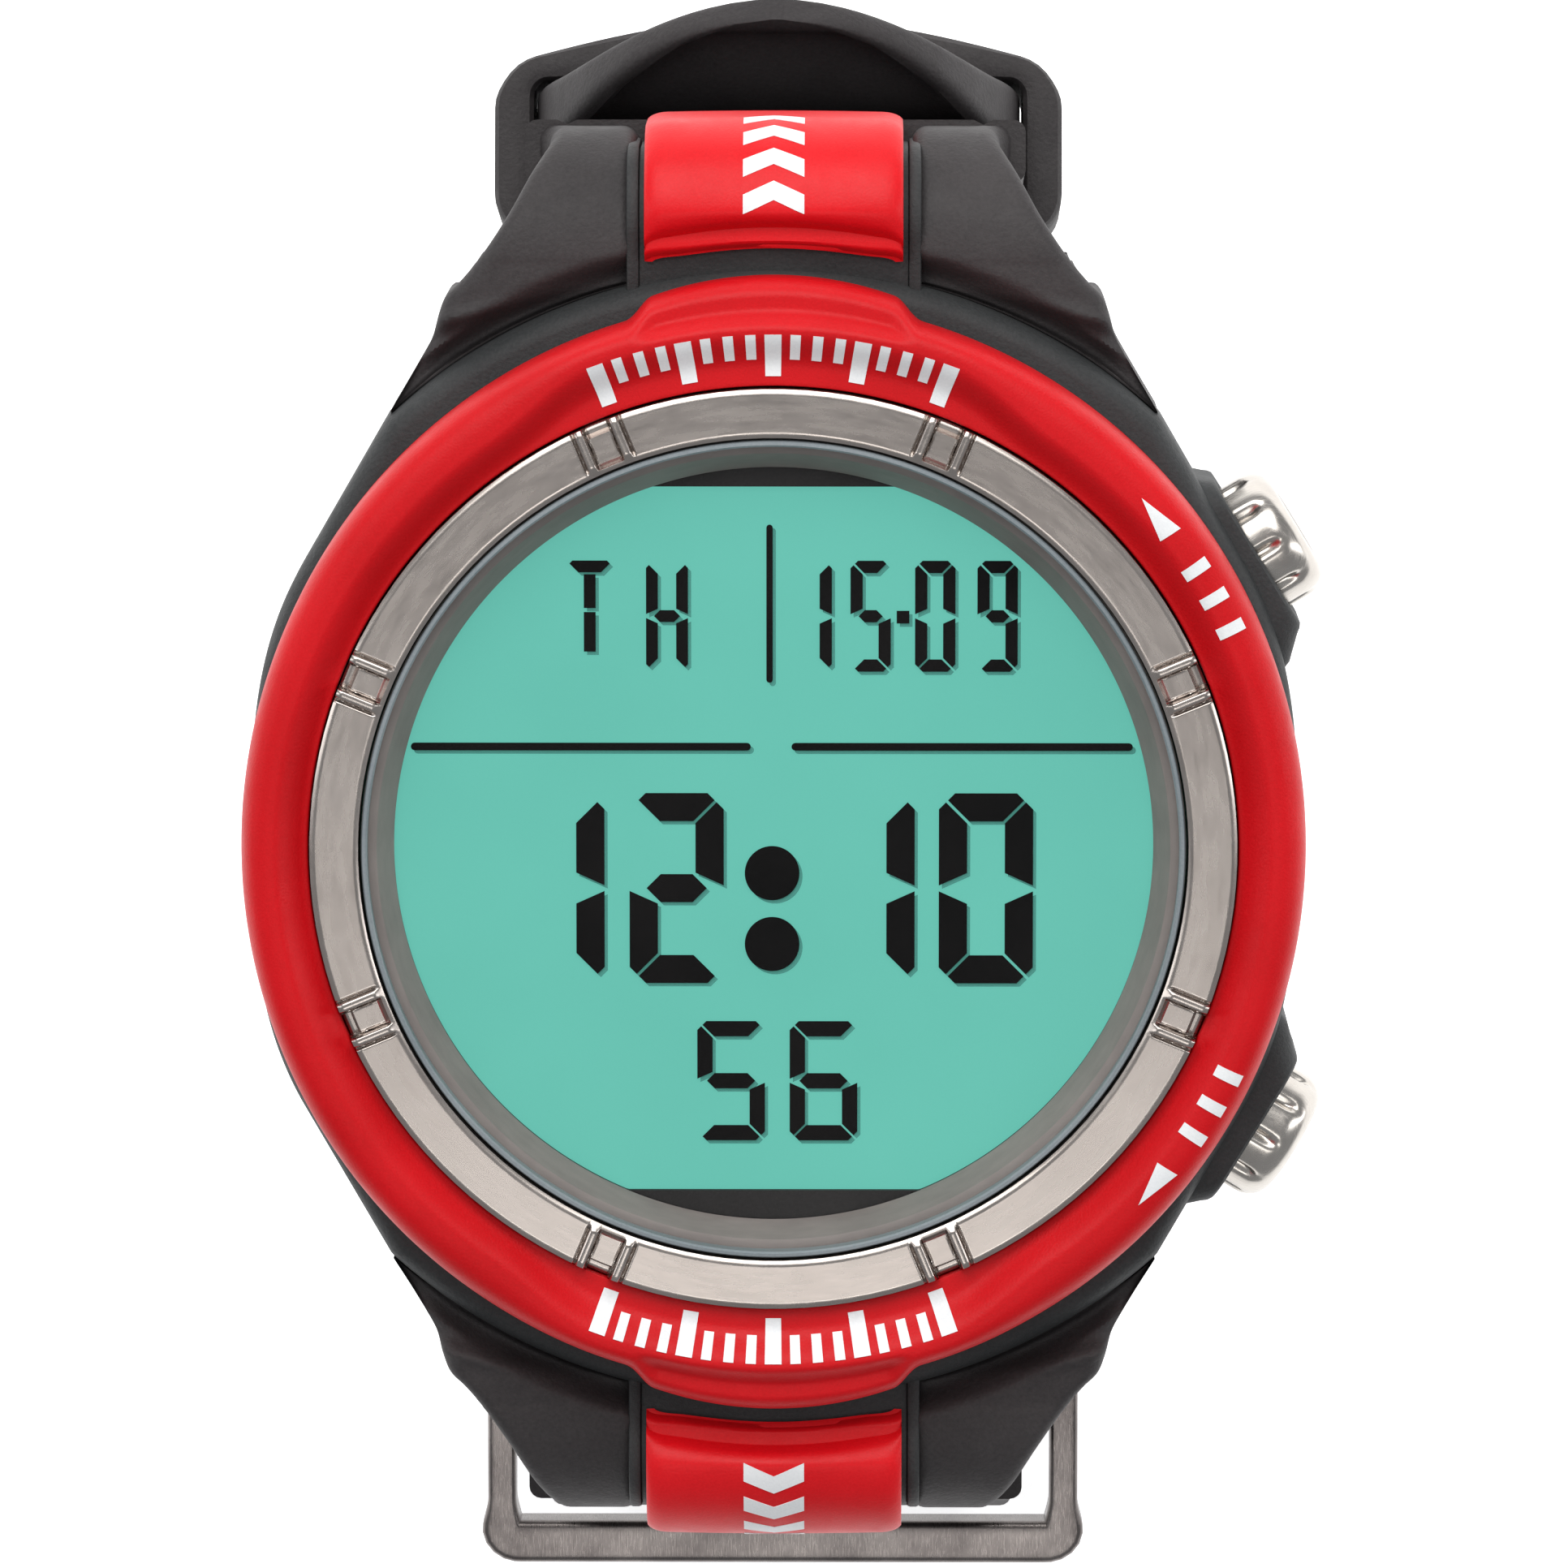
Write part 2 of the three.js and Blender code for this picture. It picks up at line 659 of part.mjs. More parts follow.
function strapEnd() {
  const side = solid(sidePlate(wingSide(), 20));
  const outline = wingOutline();
  const right = solid(plate(outline, -6, 12)).intersect(side);
  const left = right.mirror([1, 0, 0]);
  const root = solid(sidePlate([[28.3, -3.2], [31.2, -2.4], [31.2, 0.9], [28.3, 0.9]], BAND_HALF_WIDTH, 0.4));
  const caseRoom = solid(disc(CASE_RADIUS + GAP, -5, 20, 72));
  const bore = solid(rodX(SPRING_BAR.radius + 2 * FIT, -10.5, 10.5, SPRING_BAR.y, SPRING_BAR.z));
  return right.add(left).subtract(caseRoom).add(root).subtract(bore);
}

function upperStrap() {
  const band = solid(sidePlate(ribbon(upperPath(), UPPER_THICKNESS), BAND_HALF_WIDTH, 0.4));
  const eye = solid(rodX(1.65, -BAND_HALF_WIDTH + 0.4, BAND_HALF_WIDTH - 0.4, HEEL.y, HEEL.z));
  const bore = solid(rodX(PIN_RADIUS + FIT, -20, 20, HEEL.y, HEEL.z));
  const slot = solid(block(-1.6, 1.6, HEEL.y - 4, HEEL.y + 2.6, HEEL.z - 4, HEEL.z + 4));
  return band.add(strapEnd()).add(eye).subtract(bore).subtract(slot);
}

// The rounded tip is cut in the plane that its bend lies closest to.
function tailTip(path) {
  const curl = solid(sidePlate(ribbon(path.tip, TAIL_THICKNESS), BAND_HALF_WIDTH, 0.4));
  const end = path.tip[path.tip.length - 1];
  const half = BAND_HALF_WIDTH;
  const outline = [[-half, -20], [half, -20]];
  for (let i = 0; i <= 16; i += 1) {
    const a = (Math.PI * i) / 16;
    outline.push([half * Math.cos(a), TIP_LENGTH * Math.sin(a) - TIP_LENGTH]);
  }
  const angle = lean + rad(TIP_TURN) / 2;
  const cutter = plate(outline, -12, 12)
    .rotateX(Math.PI / 2 - angle)
    .translate(0, end[0] + 0.6 * Math.sin(angle), end[1] + 0.6 * Math.cos(angle));
  return curl.intersect(solid(cutter));
}

function lowerStrap() {
  const path = tailPath();
  let body = solid(sidePlate(ribbon(path.body, TAIL_THICKNESS), BAND_HALF_WIDTH, 0.4));
  body = body.add(mirrorY(strapEnd())).add(tailTip(path));
  const slot = block(-HOLE_RADIUS, HOLE_RADIUS, HEEL.y - 14, HEEL.y - 1.2, HEEL.z - 3.8, HEEL.z + 1.6);
  body = body.subtract(solid(slot));
  for (let i = 0; i < HOLE_COUNT; i += 1) {
    const y = HEEL.y + 11 + HOLE_PITCH * i;
    const hole = disc(HOLE_RADIUS, LOOP_BOTTOM - 6, LOOP_BOTTOM - UPPER_THICKNESS / 2 - 0.2, 20);
    body = body.subtract(solid(hole.translate(0, y, 0)));
  }
  return body;
}

function springBar(sign) {
  const { radius, half, y, z } = SPRING_BAR;
  const profile = [
    [0, -half],
    [0.5, -half],
    [0.5, 1.2 - half],
    [radius, 1.2 - half],
    [radius, half - 1.2],
    [0.5, half - 1.2],
    [0.5, half],
    [0, half],
  ];
  return lathe(profile, 20, false).rotateY(Math.PI / 2).translate(0, sign * y, z);
}

// Keeper loop round both layers of the strap, arched on its outside.
function keeper() {
  const t = (STRAP_START.z - KEEPER_HEIGHT) / Math.cos(lean);
  const middle = { y: STRAP_START.y - t * Math.sin(lean), z: KEEPER_HEIGHT };
  const inner = -UPPER_THICKNESS / 2 - GAP;
  const outer = layerStep + TAIL_THICKNESS / 2 + GAP;
  const half = BAND_HALF_WIDTH + 0.5;
  const wall = 1.5;
  const arch = Array.from({ length: 9 }, (_, i) => {
    const x = half + wall - 1.6 - ((half + wall - 1.6) * 2 * i) / 8;
    return [x, outer + 1.5 + 0.7 * Math.cos((Math.PI * x) / (2 * half + 2 * wall))];
  });
  const outside = [
    [-half - wall, inner - 0.3],
    [-half - wall + 0.7, inner - 1.1],
    [half + wall - 0.7, inner - 1.1],
    [half + wall, inner - 0.3],
    [half + wall, outer + 0.4],
    ...arch,
    [-half - wall, outer + 0.4],
  ];
  const body = solid(plate(outside, -KEEPER_LENGTH / 2, KEEPER_LENGTH / 2, 0.3));
  const window = plate([[-half, inner], [half, inner], [half, outer], [-half, outer]], -20, 20);
  return geometryOf(body.subtract(solid(window)))
    .rotateX(-lean)
    .translate(0, middle.y, middle.z);
}

// ---- buckle ----
function buckleFrame() {
  const corner = 2.2;
  const half = FRAME_HALF_WIDTH;
  const outside = [
    [-half, HEEL.y + 1.2],
    ...arc(-half + corner, FRAME_END + corner, corner, 180, 270, 5),
    ...arc(half - corner, FRAME_END + corner, corner, 270, 360, 5),
    [half, HEEL.y + 1.2],
  ];
  const inner = half - FRAME_BAR;
  const inside = [
    [-inner, HEEL.y + 3],
    ...arc(-inner + 1, FRAME_END + FRAME_END_BAR + 1, 1, 180, 270, 4),
    ...arc(inner - 1, FRAME_END + FRAME_END_BAR + 1, 1, 270, 360, 4),
    [inner, HEEL.y + 3],
  ];
  const low = HEEL.z - FRAME_DEPTH / 2;
  const body = solid(plate(outside, low, low + FRAME_DEPTH, 0.35));
  const open = solid(plate(inside, low - 2, low + FRAME_DEPTH + 2));
  const bore = solid(rodX(PIN_RADIUS + FIT, -half + 0.4, half - 0.4, HEEL.y, HEEL.z));
  return body.subtract(open).subtract(bore);
}

function bucklePin() {
  return rodX(PIN_RADIUS, -FRAME_HALF_WIDTH + 0.5, FRAME_HALF_WIDTH - 0.5, HEEL.y, HEEL.z);
}

// The prong turns on the pin, passes the tail and rests on the frame's outer side.
function buckleProng() {
  const rest = HEEL.z - FRAME_DEPTH / 2 - PRONG_THICKNESS / 2 - 0.15;
  const tongue = ribbon([
    [HEEL.y - 0.9, HEEL.z - 0.6],
    [HEEL.y - 4, HEEL.z - 1.0],
    [FRAME_END + FRAME_END_BAR + 1, rest],
    [FRAME_END - 0.2, rest],
  ], PRONG_THICKNESS);
  const eye = solid(rodX(1.7, -PRONG_HALF_WIDTH, PRONG_HALF_WIDTH, HEEL.y, HEEL.z));
  const bore = solid(rodX(PIN_RADIUS + FIT, -3, 3, HEEL.y, HEEL.z));
  return solid(sidePlate(tongue, PRONG_HALF_WIDTH, 0.25)).add(eye).subtract(bore);
}

// ---- assembly ----
const red = () => material(RED, 0.5);
const charcoal = () => material(CHARCOAL, 0.7);
const rubber = () => material(RUBBER, 0.75);
const steel = () => material(STEEL, 0.3, 1);
const seal = () => material(new THREE.Color(0.04, 0.04, 0.04), 0.8);
const plastic = (r, g, b) => material(new THREE.Color(r, g, b), 0.6);

add('case_body', caseBody(), charcoal());
add('bezel_ring', bezelRing(), red());
add('lens_retaining_ring', retainingRing(), steel());
add('lens_gasket', ring(LENS_RADIUS + 0.05, LENS_RADIUS + 0.4, LENS_LOW, LENS_LOW + 0.9),
  plastic(0.45, 0.5, 0.53));
add('inner_reflector_ring', reflectorRing(), material(STEEL, 0.5, 0.8));
add('lens', disc(LENS_RADIUS, LENS_LOW, LENS_LOW + LENS_THICKNESS),
  material(new THREE.Color(0.9, 0.95, 0.95), 0.05, 0, { transparent: true, opacity: 0.15 }));
add('display_mask', displayMask(), plastic(0.05, 0.05, 0.05));
add('lcd_panel', disc(MODULE_RADIUS - 0.2, 9.2, 10.4), plastic(0.44, 0.8, 0.73));
add('backlight_panel', disc(MODULE_RADIUS - 0.6, 8.5, 9.1), plastic(0.9, 0.95, 0.9));
add('circuit_board', disc(MODULE_RADIUS - 0.2, 6.6, 7.4), plastic(0.05, 0.3, 0.15));
add('processor_chip', block(-3.5, 3.5, -3.5, 3.5, 7.45, 8.3), plastic(0.06, 0.06, 0.07));
add('memory_chip', block(6, 10, 2, 7, 7.45, 8.2), plastic(0.06, 0.06, 0.07));
add('piezo_buzzer', disc(4.5, 7.45, 8.0, 32).translate(-8.5, -7, 0), material(STEEL, 0.4, 1));
add('battery_tray', batteryTray(), plastic(0.1, 0.1, 0.1));
add('battery', disc(BATTERY_RADIUS, batteryLow, batteryHigh, 48), steel());
add('battery_contact', contactSpring(), material(new THREE.Color(0.8, 0.65, 0.35), 0.4, 1));
add('case_back', caseBack(), steel());
add('case_back_gasket', new THREE.TorusGeometry(16, 0.32, 6, 32).translate(0, 0, BACK_THICKNESS + 0.4), seal());
add('battery_hatch', batteryHatch(), steel());
add('hatch_gasket', new THREE.TorusGeometry(HATCH_RADIUS - 0.22, 0.3, 6, 32).translate(0, 0, 1.35), seal());
add('pressure_sensor', disc(1.5, 1.9, 5.1, 24).translate(-21.4, 0, 0), steel());
for (let i = 0; i < SCREW_COUNT; i += 1) {
  add(`case_back_screw_${i + 1}`, atScrew(geometryOf(backScrew()), i), steel());
}
for (const [side, place] of [[1, 'upper'], [-1, 'lower']]) {
  add(`${place}_button_cap`, buttonCap(side), steel());
  add(`${place}_button_stem`, buttonStem(side), steel());
  add(`${place}_button_clip`, buttonClip(side), steel());
  add(`${place}_button_seal`, buttonSeal(side), seal());
  add(`${place}_button_spring`, buttonSpring(side), steel());
  add(`${place}_button_switch`, buttonSwitch(side), plastic(0.08, 0.08, 0.08));
  add(`${place}_spring_bar`, springBar(side), steel());
}
add('upper_lug_insert', insertSolid(), red());
add('lower_lug_insert', mirrorY(insertSolid()), red());
add('upper_strap', upperStrap(), rubber());
add('lower_strap', lowerStrap(), rubber());
add('strap_keeper', keeper(), rubber());
add('buckle_frame', buckleFrame(), steel());
add('buckle_pin', bucklePin(), steel());
add('buckle_prong', buckleProng(), steel());

export default watch;
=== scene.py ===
import math

import bpy
import numpy as np
from mathutils import Matrix, Vector


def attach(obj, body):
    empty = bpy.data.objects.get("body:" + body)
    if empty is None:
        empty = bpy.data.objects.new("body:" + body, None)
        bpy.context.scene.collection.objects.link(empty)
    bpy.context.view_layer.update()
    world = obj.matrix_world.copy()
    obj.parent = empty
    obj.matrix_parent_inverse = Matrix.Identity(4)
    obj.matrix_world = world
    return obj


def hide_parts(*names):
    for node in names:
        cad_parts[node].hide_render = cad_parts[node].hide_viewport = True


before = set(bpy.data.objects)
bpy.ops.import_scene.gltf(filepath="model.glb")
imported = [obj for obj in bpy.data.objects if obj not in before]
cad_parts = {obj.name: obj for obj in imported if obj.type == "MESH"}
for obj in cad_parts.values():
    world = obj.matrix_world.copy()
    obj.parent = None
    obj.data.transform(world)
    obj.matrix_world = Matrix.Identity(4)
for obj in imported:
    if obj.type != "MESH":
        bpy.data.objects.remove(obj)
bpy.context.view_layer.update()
print("frame loaded")

mm = 0.001
deg = math.pi / 180


# Grid of points (rows, columns, 3) in millimetres made a mesh object, closed or open either way.
def gridObject(name, points, closedRows=False, closedColumns=True, caps=True, flip=False):
    rows, columns = points.shape[:2]
    index = np.arange(rows * columns).reshape(rows, columns)
    down = np.roll(index, -1, axis=0) if closedRows else index[1:]
    here = index if closedRows else index[:-1]
    right = np.roll(here, -1, axis=1) if closedColumns else here[:, 1:]
    downRight = np.roll(down, -1, axis=1) if closedColumns else down[:, 1:]
    if not closedColumns:
        here, down = here[:, :-1], down[:, :-1]
    faces = np.stack([here, right, downRight, down], axis=-1).reshape(-1, 4)
    if flip:
        faces = faces[:, ::-1]
    polygons = faces.tolist()
    if caps and not closedRows:
        first, last = index[0].tolist(), index[-1].tolist()
        polygons += [last, first[::-1]] if not flip else [last[::-1], first]
    mesh = bpy.data.meshes.new(name)
    mesh.from_pydata((points.reshape(-1, 3) * mm).tolist(), [], polygons)
    mesh.validate()
    item = bpy.data.objects.new(name, mesh)
    bpy.context.collection.objects.link(item)
    pointOutwards(item)
    return item


# Merges doubles at poles and turns every face outwards.
def pointOutwards(item, smooth=35):
    bpy.ops.object.select_all(action="DESELECT")
    item.select_set(True)
    bpy.context.view_layer.objects.active = item
    bpy.ops.object.mode_set(mode="EDIT")
    bpy.ops.mesh.select_all(action="SELECT")
    bpy.ops.mesh.remove_doubles(threshold=2e-7)
    bpy.ops.mesh.normals_make_consistent(inside=False)
    bpy.ops.object.mode_set(mode="OBJECT")
    item.data.shade_smooth()
    item.data.set_sharp_from_angle(angle=smooth * deg)


# Joins several objects into the first one under a new name.
def joined(name, items):
    bpy.ops.object.select_all(action="DESELECT")
    for item in items:
        item.select_set(True)
    bpy.context.view_layer.objects.active = items[0]
    bpy.ops.object.join()
    items[0].name = name
    items[0].data.name = name
    return items[0]


# Closed profile of (r, z) pairs turned about a centre, round an axis parallel to Z.
def turned(name, profile, segments=240, centre=(0, 0)):
    around = np.linspace(0, 2 * np.pi, segments, endpoint=False)[:, None]
    r, z = np.array(profile, float).T
    x = centre[0] + r[None, :] * np.cos(around)
    y = centre[1] + r[None, :] * np.sin(around)
    return gridObject(name, np.stack([x, y, z[None, :] + 0 * x], -1), closedRows=True)


# Points on an arc, from one angle to another in degrees, as (n, 2).
def arcPoints(cx, cy, radius, start, end, count):
    a = np.linspace(start, end, count) * deg
    return np.stack([cx + radius * np.cos(a), cy + radius * np.sin(a)], -1)


# Smooth step from 0 at a to 1 at b.
def ease(a, b, value):
    t = np.clip((value - a) / (b - a), 0, 1)
    return t * t * (3 - 2 * t)


# Resamples a polyline evenly into count points.
def evenly(points, count):
    points = np.array(points, float)
    steps = np.r_[0, np.cumsum(np.linalg.norm(np.diff(points, axis=0), axis=1))]
    at = np.linspace(0, steps[-1], count)
    return np.stack([np.interp(at, steps, points[:, k]) for k in range(points.shape[1])], -1), at


# Moving average along a polyline, ends kept, so that its corners run round.
def softened(points, rounds=3):
    for _ in range(rounds):
        between = (points[:-2] + 2 * points[1:-1] + points[2:]) / 4
        points = np.concatenate([points[:1], between, points[-1:]])
    return points


# Tangents of a (y, z) path, and its normals on the left of its run.
def pathNormals(path):
    along = np.gradient(path, axis=0)
    along /= np.linalg.norm(along, axis=1, keepdims=True)
    return along, np.stack([-along[:, 1], along[:, 0]], -1)


# Rounded rectangle as (n, 2), anticlockwise, with corner arcs of the given radius.
def roundedBox(halfWidth, halfHeight, radius, corner=6, straight=3):
    pieces = []
    for k, (sx, sy) in enumerate([(1, 1), (-1, 1), (-1, -1), (1, -1)]):
        pieces.append(arcPoints(sx * (halfWidth - radius), sy * (halfHeight - radius), radius,
                                90 * k, 90 * k + 90, corner))
        nx, ny = [(-1, 1), (-1, -1), (1, -1), (1, 1)][k]
        begin = pieces[-1][-1]
        target = np.array([nx * (halfWidth - radius), ny * halfHeight]) if k % 2 == 0 else \
            np.array([nx * halfWidth, ny * (halfHeight - radius)])
        share = np.linspace(0, 1, straight + 2)[1:-1, None]
        pieces.append(begin + (target - begin) * share)
    return np.concatenate(pieces)


# A new material with one shader, its sockets set by name.
def newMaterial(name, colour, roughness, metallic=0.0, **sockets):
    made = bpy.data.materials.new(name)
    made.use_nodes = True
    shader = made.node_tree.nodes["Principled BSDF"]
    shader.inputs["Base Color"].default_value = (*colour, 1)
    shader.inputs["Roughness"].default_value = roughness
    shader.inputs["Metallic"].default_value = metallic
    for key, value in sockets.items():
        shader.inputs[key.replace("_", " ")].default_value = value
    return made, made.node_tree, shader


# Noise at a vector: its factor.
def noiseNode(tree, vector, scale, detail=4.0, rough=0.55):
    node = tree.nodes.new("ShaderNodeTexNoise")
    node.inputs["Scale"].default_value = scale
    node.inputs["Detail"].default_value = detail
    node.inputs["Roughness"].default_value = rough
    tree.links.new(vector, node.inputs["Vector"])
    return node.outputs["Fac"]


# A value carried from one range to another.
def rangeNode(tree, value, low, high, outLow, outHigh):
    node = tree.nodes.new("ShaderNodeMapRange")
    for key, v in (("From Min", low), ("From Max", high), ("To Min", outLow), ("To Max", outHigh)):
        node.inputs[key].default_value = v
    tree.links.new(value, node.inputs["Value"])
    return node.outputs["Result"]


# Colour by a value, from pairs of place and colour.
def colourRamp(tree, value, stops):
    node = tree.nodes.new("ShaderNodeValToRGB")
    ramp = node.color_ramp
    while len(ramp.elements) < len(stops):
        ramp.elements.new(0.5)
    for element, (place, colour) in zip(ramp.elements, stops):
        element.position = place
        element.color = (*colour, 1)
    tree.links.new(value, node.inputs["Fac"])
    return node.outputs["Color"]


# Relief from a height, on the shader's normal.
def bumpNode(tree, shader, height, strength, distance):
    node = tree.nodes.new("ShaderNodeBump")
    node.inputs["Strength"].default_value = strength
    node.inputs["Distance"].default_value = distance
    tree.links.new(height, node.inputs["Height"])
    tree.links.new(node.outputs["Normal"], shader.inputs["Normal"])


# One sum on values or plain numbers.
def mathNode(tree, kind, a, b=None):
    node = tree.nodes.new("ShaderNodeMath")
    node.operation = kind
    for socket, value in zip(node.inputs, (a, b)):
        if value is None:
            continue
        if isinstance(value, (int, float)):
            socket.default_value = value
        else:
            tree.links.new(value, socket)
    return node.outputs["Value"]


# Two values added by shares that make one.
def blended(tree, first, share, second):
    return mathNode(tree, "ADD", mathNode(tree, "MULTIPLY", first, share),
                    mathNode(tree, "MULTIPLY", second, 1 - share))


# Colour by a value into one of the shader's colour sockets.
def linkColour(tree, shader, value, stops, socket="Base Color"):
    tree.links.new(colourRamp(tree, value, stops), shader.inputs[socket])


# Roughness between two limits as a value runs between two others.
def linkRoughness(tree, shader, value, low, high, smoothest, roughest):
    tree.links.new(rangeNode(tree, value, low, high, smoothest, roughest), shader.inputs["Roughness"])


# Place on the piece, in object coordinates.
def objectPlace(tree):
    return tree.nodes.new("ShaderNodeTexCoord").outputs["Object"]


# Moulded skin: fine leathery grain, slow mottling of tone, patchy gloss.
def mouldedSkin(name, dark, light, roughness, grain=0.25, grainScale=9000, **sockets):
    made, tree, shader = newMaterial(name, light, roughness, **sockets)
    place = objectPlace(tree)
    slow = noiseNode(tree, place, 140, 5)
    fine = noiseNode(tree, place, grainScale, 3, 0.6)
    scuff = noiseNode(tree, place, 620, 8, 0.75)
    linkColour(tree, shader, blended(tree, slow, 0.6, fine), [(0.34, dark), (0.66, light)])
    linkRoughness(tree, shader, scuff, 0.3, 0.7, roughness - 0.06, roughness + 0.09)
    bumpNode(tree, shader, fine, grain, 0.00006)
    return made


# Metal brushed round the Z axis: noise stretched along the angle, fine across the radius.
def brushedRound(name, dark, light, roughness, metallic=1.0, lines=5200, relief=0.3):
    made, tree, shader = newMaterial(name, light, roughness, metallic)
    place = objectPlace(tree)
    split = tree.nodes.new("ShaderNodeSeparateXYZ")
    tree.links.new(place, split.inputs["Vector"])
    x, y, z = split.outputs
    radius = mathNode(tree, "SQRT", mathNode(tree, "ADD", mathNode(tree, "MULTIPLY", x, x),
                                             mathNode(tree, "MULTIPLY", y, y)))
    angle = mathNode(tree, "ARCTAN2", y, x)
    pack = tree.nodes.new("ShaderNodeCombineXYZ")
    tree.links.new(mathNode(tree, "MULTIPLY", angle, 0.004), pack.inputs[0])
    tree.links.new(radius, pack.inputs[1])
    tree.links.new(z, pack.inputs[2])
    lineNoise = noiseNode(tree, pack.outputs["Vector"], lines, 3, 0.6)
    broad = noiseNode(tree, place, 210, 4)
    linkColour(tree, shader, blended(tree, lineNoise, 0.4, broad), [(0.33, dark), (0.67, light)])
    linkRoughness(tree, shader, lineNoise, 0.3, 0.7, roughness - 0.03, roughness + 0.05)
    bumpNode(tree, shader, lineNoise, relief, 0.00004)
    return made


# Metal with faint smears, scratches and tone changes, for polished and satin pieces.
def wornMetal(name, dark, light, roughness, scratch=0.12, stretch=(1, 1, 14)):
    made, tree, shader = newMaterial(name, light, roughness, 1.0)
    place = objectPlace(tree)
    mapping = tree.nodes.new("ShaderNodeMapping")
    mapping.inputs["Scale"].default_value = stretch
    tree.links.new(place, mapping.inputs["Vector"])
    lineNoise = noiseNode(tree, mapping.outputs["Vector"], 1500, 6, 0.7)
    smear = noiseNode(tree, place, 330, 5)
    linkColour(tree, shader, smear, [(0.3, dark), (0.7, light)])
    linkRoughness(tree, shader, lineNoise, 0.3, 0.75, roughness - 0.05, roughness + 0.12)
    bumpNode(tree, shader, lineNoise, scratch, 0.00003)
    return made


redSkin = mouldedSkin("redSkin", (0.50, 0.001, 0.004), (0.63, 0.003, 0.008), 0.45, 0.30,
                      Specular_IOR_Level=0.22)
redInlay = mouldedSkin("redInlay", (0.60, 0.002, 0.006), (0.74, 0.006, 0.012), 0.42, 0.22,
                       Specular_IOR_Level=0.25)
casePolymer = mouldedSkin("casePolymer", (0.026, 0.028, 0.029), (0.048, 0.050, 0.051), 0.56, 0.6, 6000,
                          Specular_IOR_Level=0.22)
strapRubber = mouldedSkin("strapRubber", (0.026, 0.023, 0.024), (0.048, 0.043, 0.044), 0.6, 0.6, 5500,
                          Specular_IOR_Level=0.3)
sealRubber = mouldedSkin("sealRubber", (0.010, 0.010, 0.010), (0.022, 0.022, 0.022), 0.6, 0.2)
gasketRubber = mouldedSkin("gasketRubber", (0.17, 0.20, 0.22), (0.26, 0.29, 0.31), 0.4, 0.1)
ringSteel = brushedRound("ringSteel", (0.41, 0.367, 0.34), (0.48, 0.435, 0.405), 0.25, 1.0, 2600, 0.035)
backSteel = brushedRound("backSteel", (0.42, 0.41, 0.39), (0.62, 0.60, 0.57), 0.30)
chamferMetal = brushedRound("chamferMetal", (0.20, 0.175, 0.165), (0.27, 0.24, 0.225), 0.6, 0.15, 3000, 0.12)
buttonSteel = wornMetal("buttonSteel", (0.48, 0.445, 0.41), (0.60, 0.57, 0.53), 0.22, 0.04)
buckleSteel = wornMetal("buckleSteel", (0.13, 0.115, 0.112), (0.25, 0.225, 0.215), 0.27, 0.25, (12, 1, 1))
maskInk = mouldedSkin("maskInk", (0.018, 0.017, 0.017), (0.034, 0.032, 0.032), 0.45, 0.05,
                      Specular_IOR_Level=0.15)
whiteInk = mouldedSkin("whiteInk", (0.74, 0.76, 0.78), (0.86, 0.87, 0.88), 0.5, 0.15)
segmentInk = mouldedSkin("segmentInk", (0.004, 0.004, 0.004), (0.010, 0.009, 0.009), 0.6, 0.02,
                         Specular_IOR_Level=0.06)
boardGreen = mouldedSkin("boardGreen", (0.01, 0.06, 0.025), (0.02, 0.12, 0.05), 0.4, 0.1)


# Display film: even teal with a faint cloud; its glow is painted light, an emission that stands in for the
# studio light on the film and hides the shade near its edges.
def paintedGlowFilm():
    made, tree, shader = newMaterial("paintedGlowFilm", (0.03, 0.11, 0.09), 0.6, Emission_Strength=1.0,
                                     Specular_IOR_Level=0.1)
    place = objectPlace(tree)
    cloud = noiseNode(tree, place, 90, 3)
    speck = noiseNode(tree, place, 16000, 2)
    tones = [(0.3, (0.112, 0.445, 0.365)), (0.7, (0.124, 0.480, 0.395))]
    # painted glow: the teal is given as emission in place of light from the lamps
    linkColour(tree, shader, blended(tree, cloud, 0.75, speck), tones, "Emission Color")
    return made


# Lens glass: almost clear, with a faint smudge in its gloss.
def clearGlass():
    made, tree, shader = newMaterial("clearGlass", (0.02, 0.022, 0.024), 0.04, Alpha=0.03,
                                     Specular_IOR_Level=0.12)
    smudge = noiseNode(tree, objectPlace(tree), 160, 4)
    linkRoughness(tree, shader, smudge, 0.35, 0.7, 0.03, 0.10)
    return made


displayFilm = paintedGlowFilm()
lensGlass = clearGlass()
shadowFilm = newMaterial("shadowFilm", (0.05, 0.26, 0.22), 0.6, Alpha=0.45)[0]


# Gives an object its material and body, and hides the CAD nodes that it stands for.
def dress(item, material, body, *nodes):
    item.data.materials.clear()
    item.data.materials.append(material)
    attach(item, body)
    if nodes:
        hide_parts(*nodes)
    return item


print("materials ready")


bezel = dict(inner=20.5, halfWidth=23.5, halfLength=24.1, tabReach=25.2, tabHalf=6.15, low=9.82,
             rim=12.55, crest=13.5, shoulder=11.4, crestRadius=22.1, crestAtPrint=23.05,
             ledgeDrop=0.75, ledgeEdge=1.35)


# Outer radius at an angle: oval, plus a tab at twelve and six.
def bezelOuter(angle):
    oval = bezel["halfLength"] - (bezel["halfLength"] - bezel["halfWidth"]) * np.cos(angle) ** 2
    across = np.abs(bezel["tabReach"] * np.cos(angle))
    rise = ease(bezel["tabHalf"] + 0.75, bezel["tabHalf"] - 0.75, across)
    crown = bezel["tabReach"] - 0.012 * across ** 2
    return oval + (crown - oval) * rise


# Radius of the crest: close in at the sides, further out round the printed areas.
def bezelCrest(angle):
    across = np.abs(bezel["halfLength"] * np.cos(angle))
    return bezel["crestRadius"] + (bezel["crestAtPrint"] - bezel["crestRadius"]) * ease(13.5, 8.0, across)


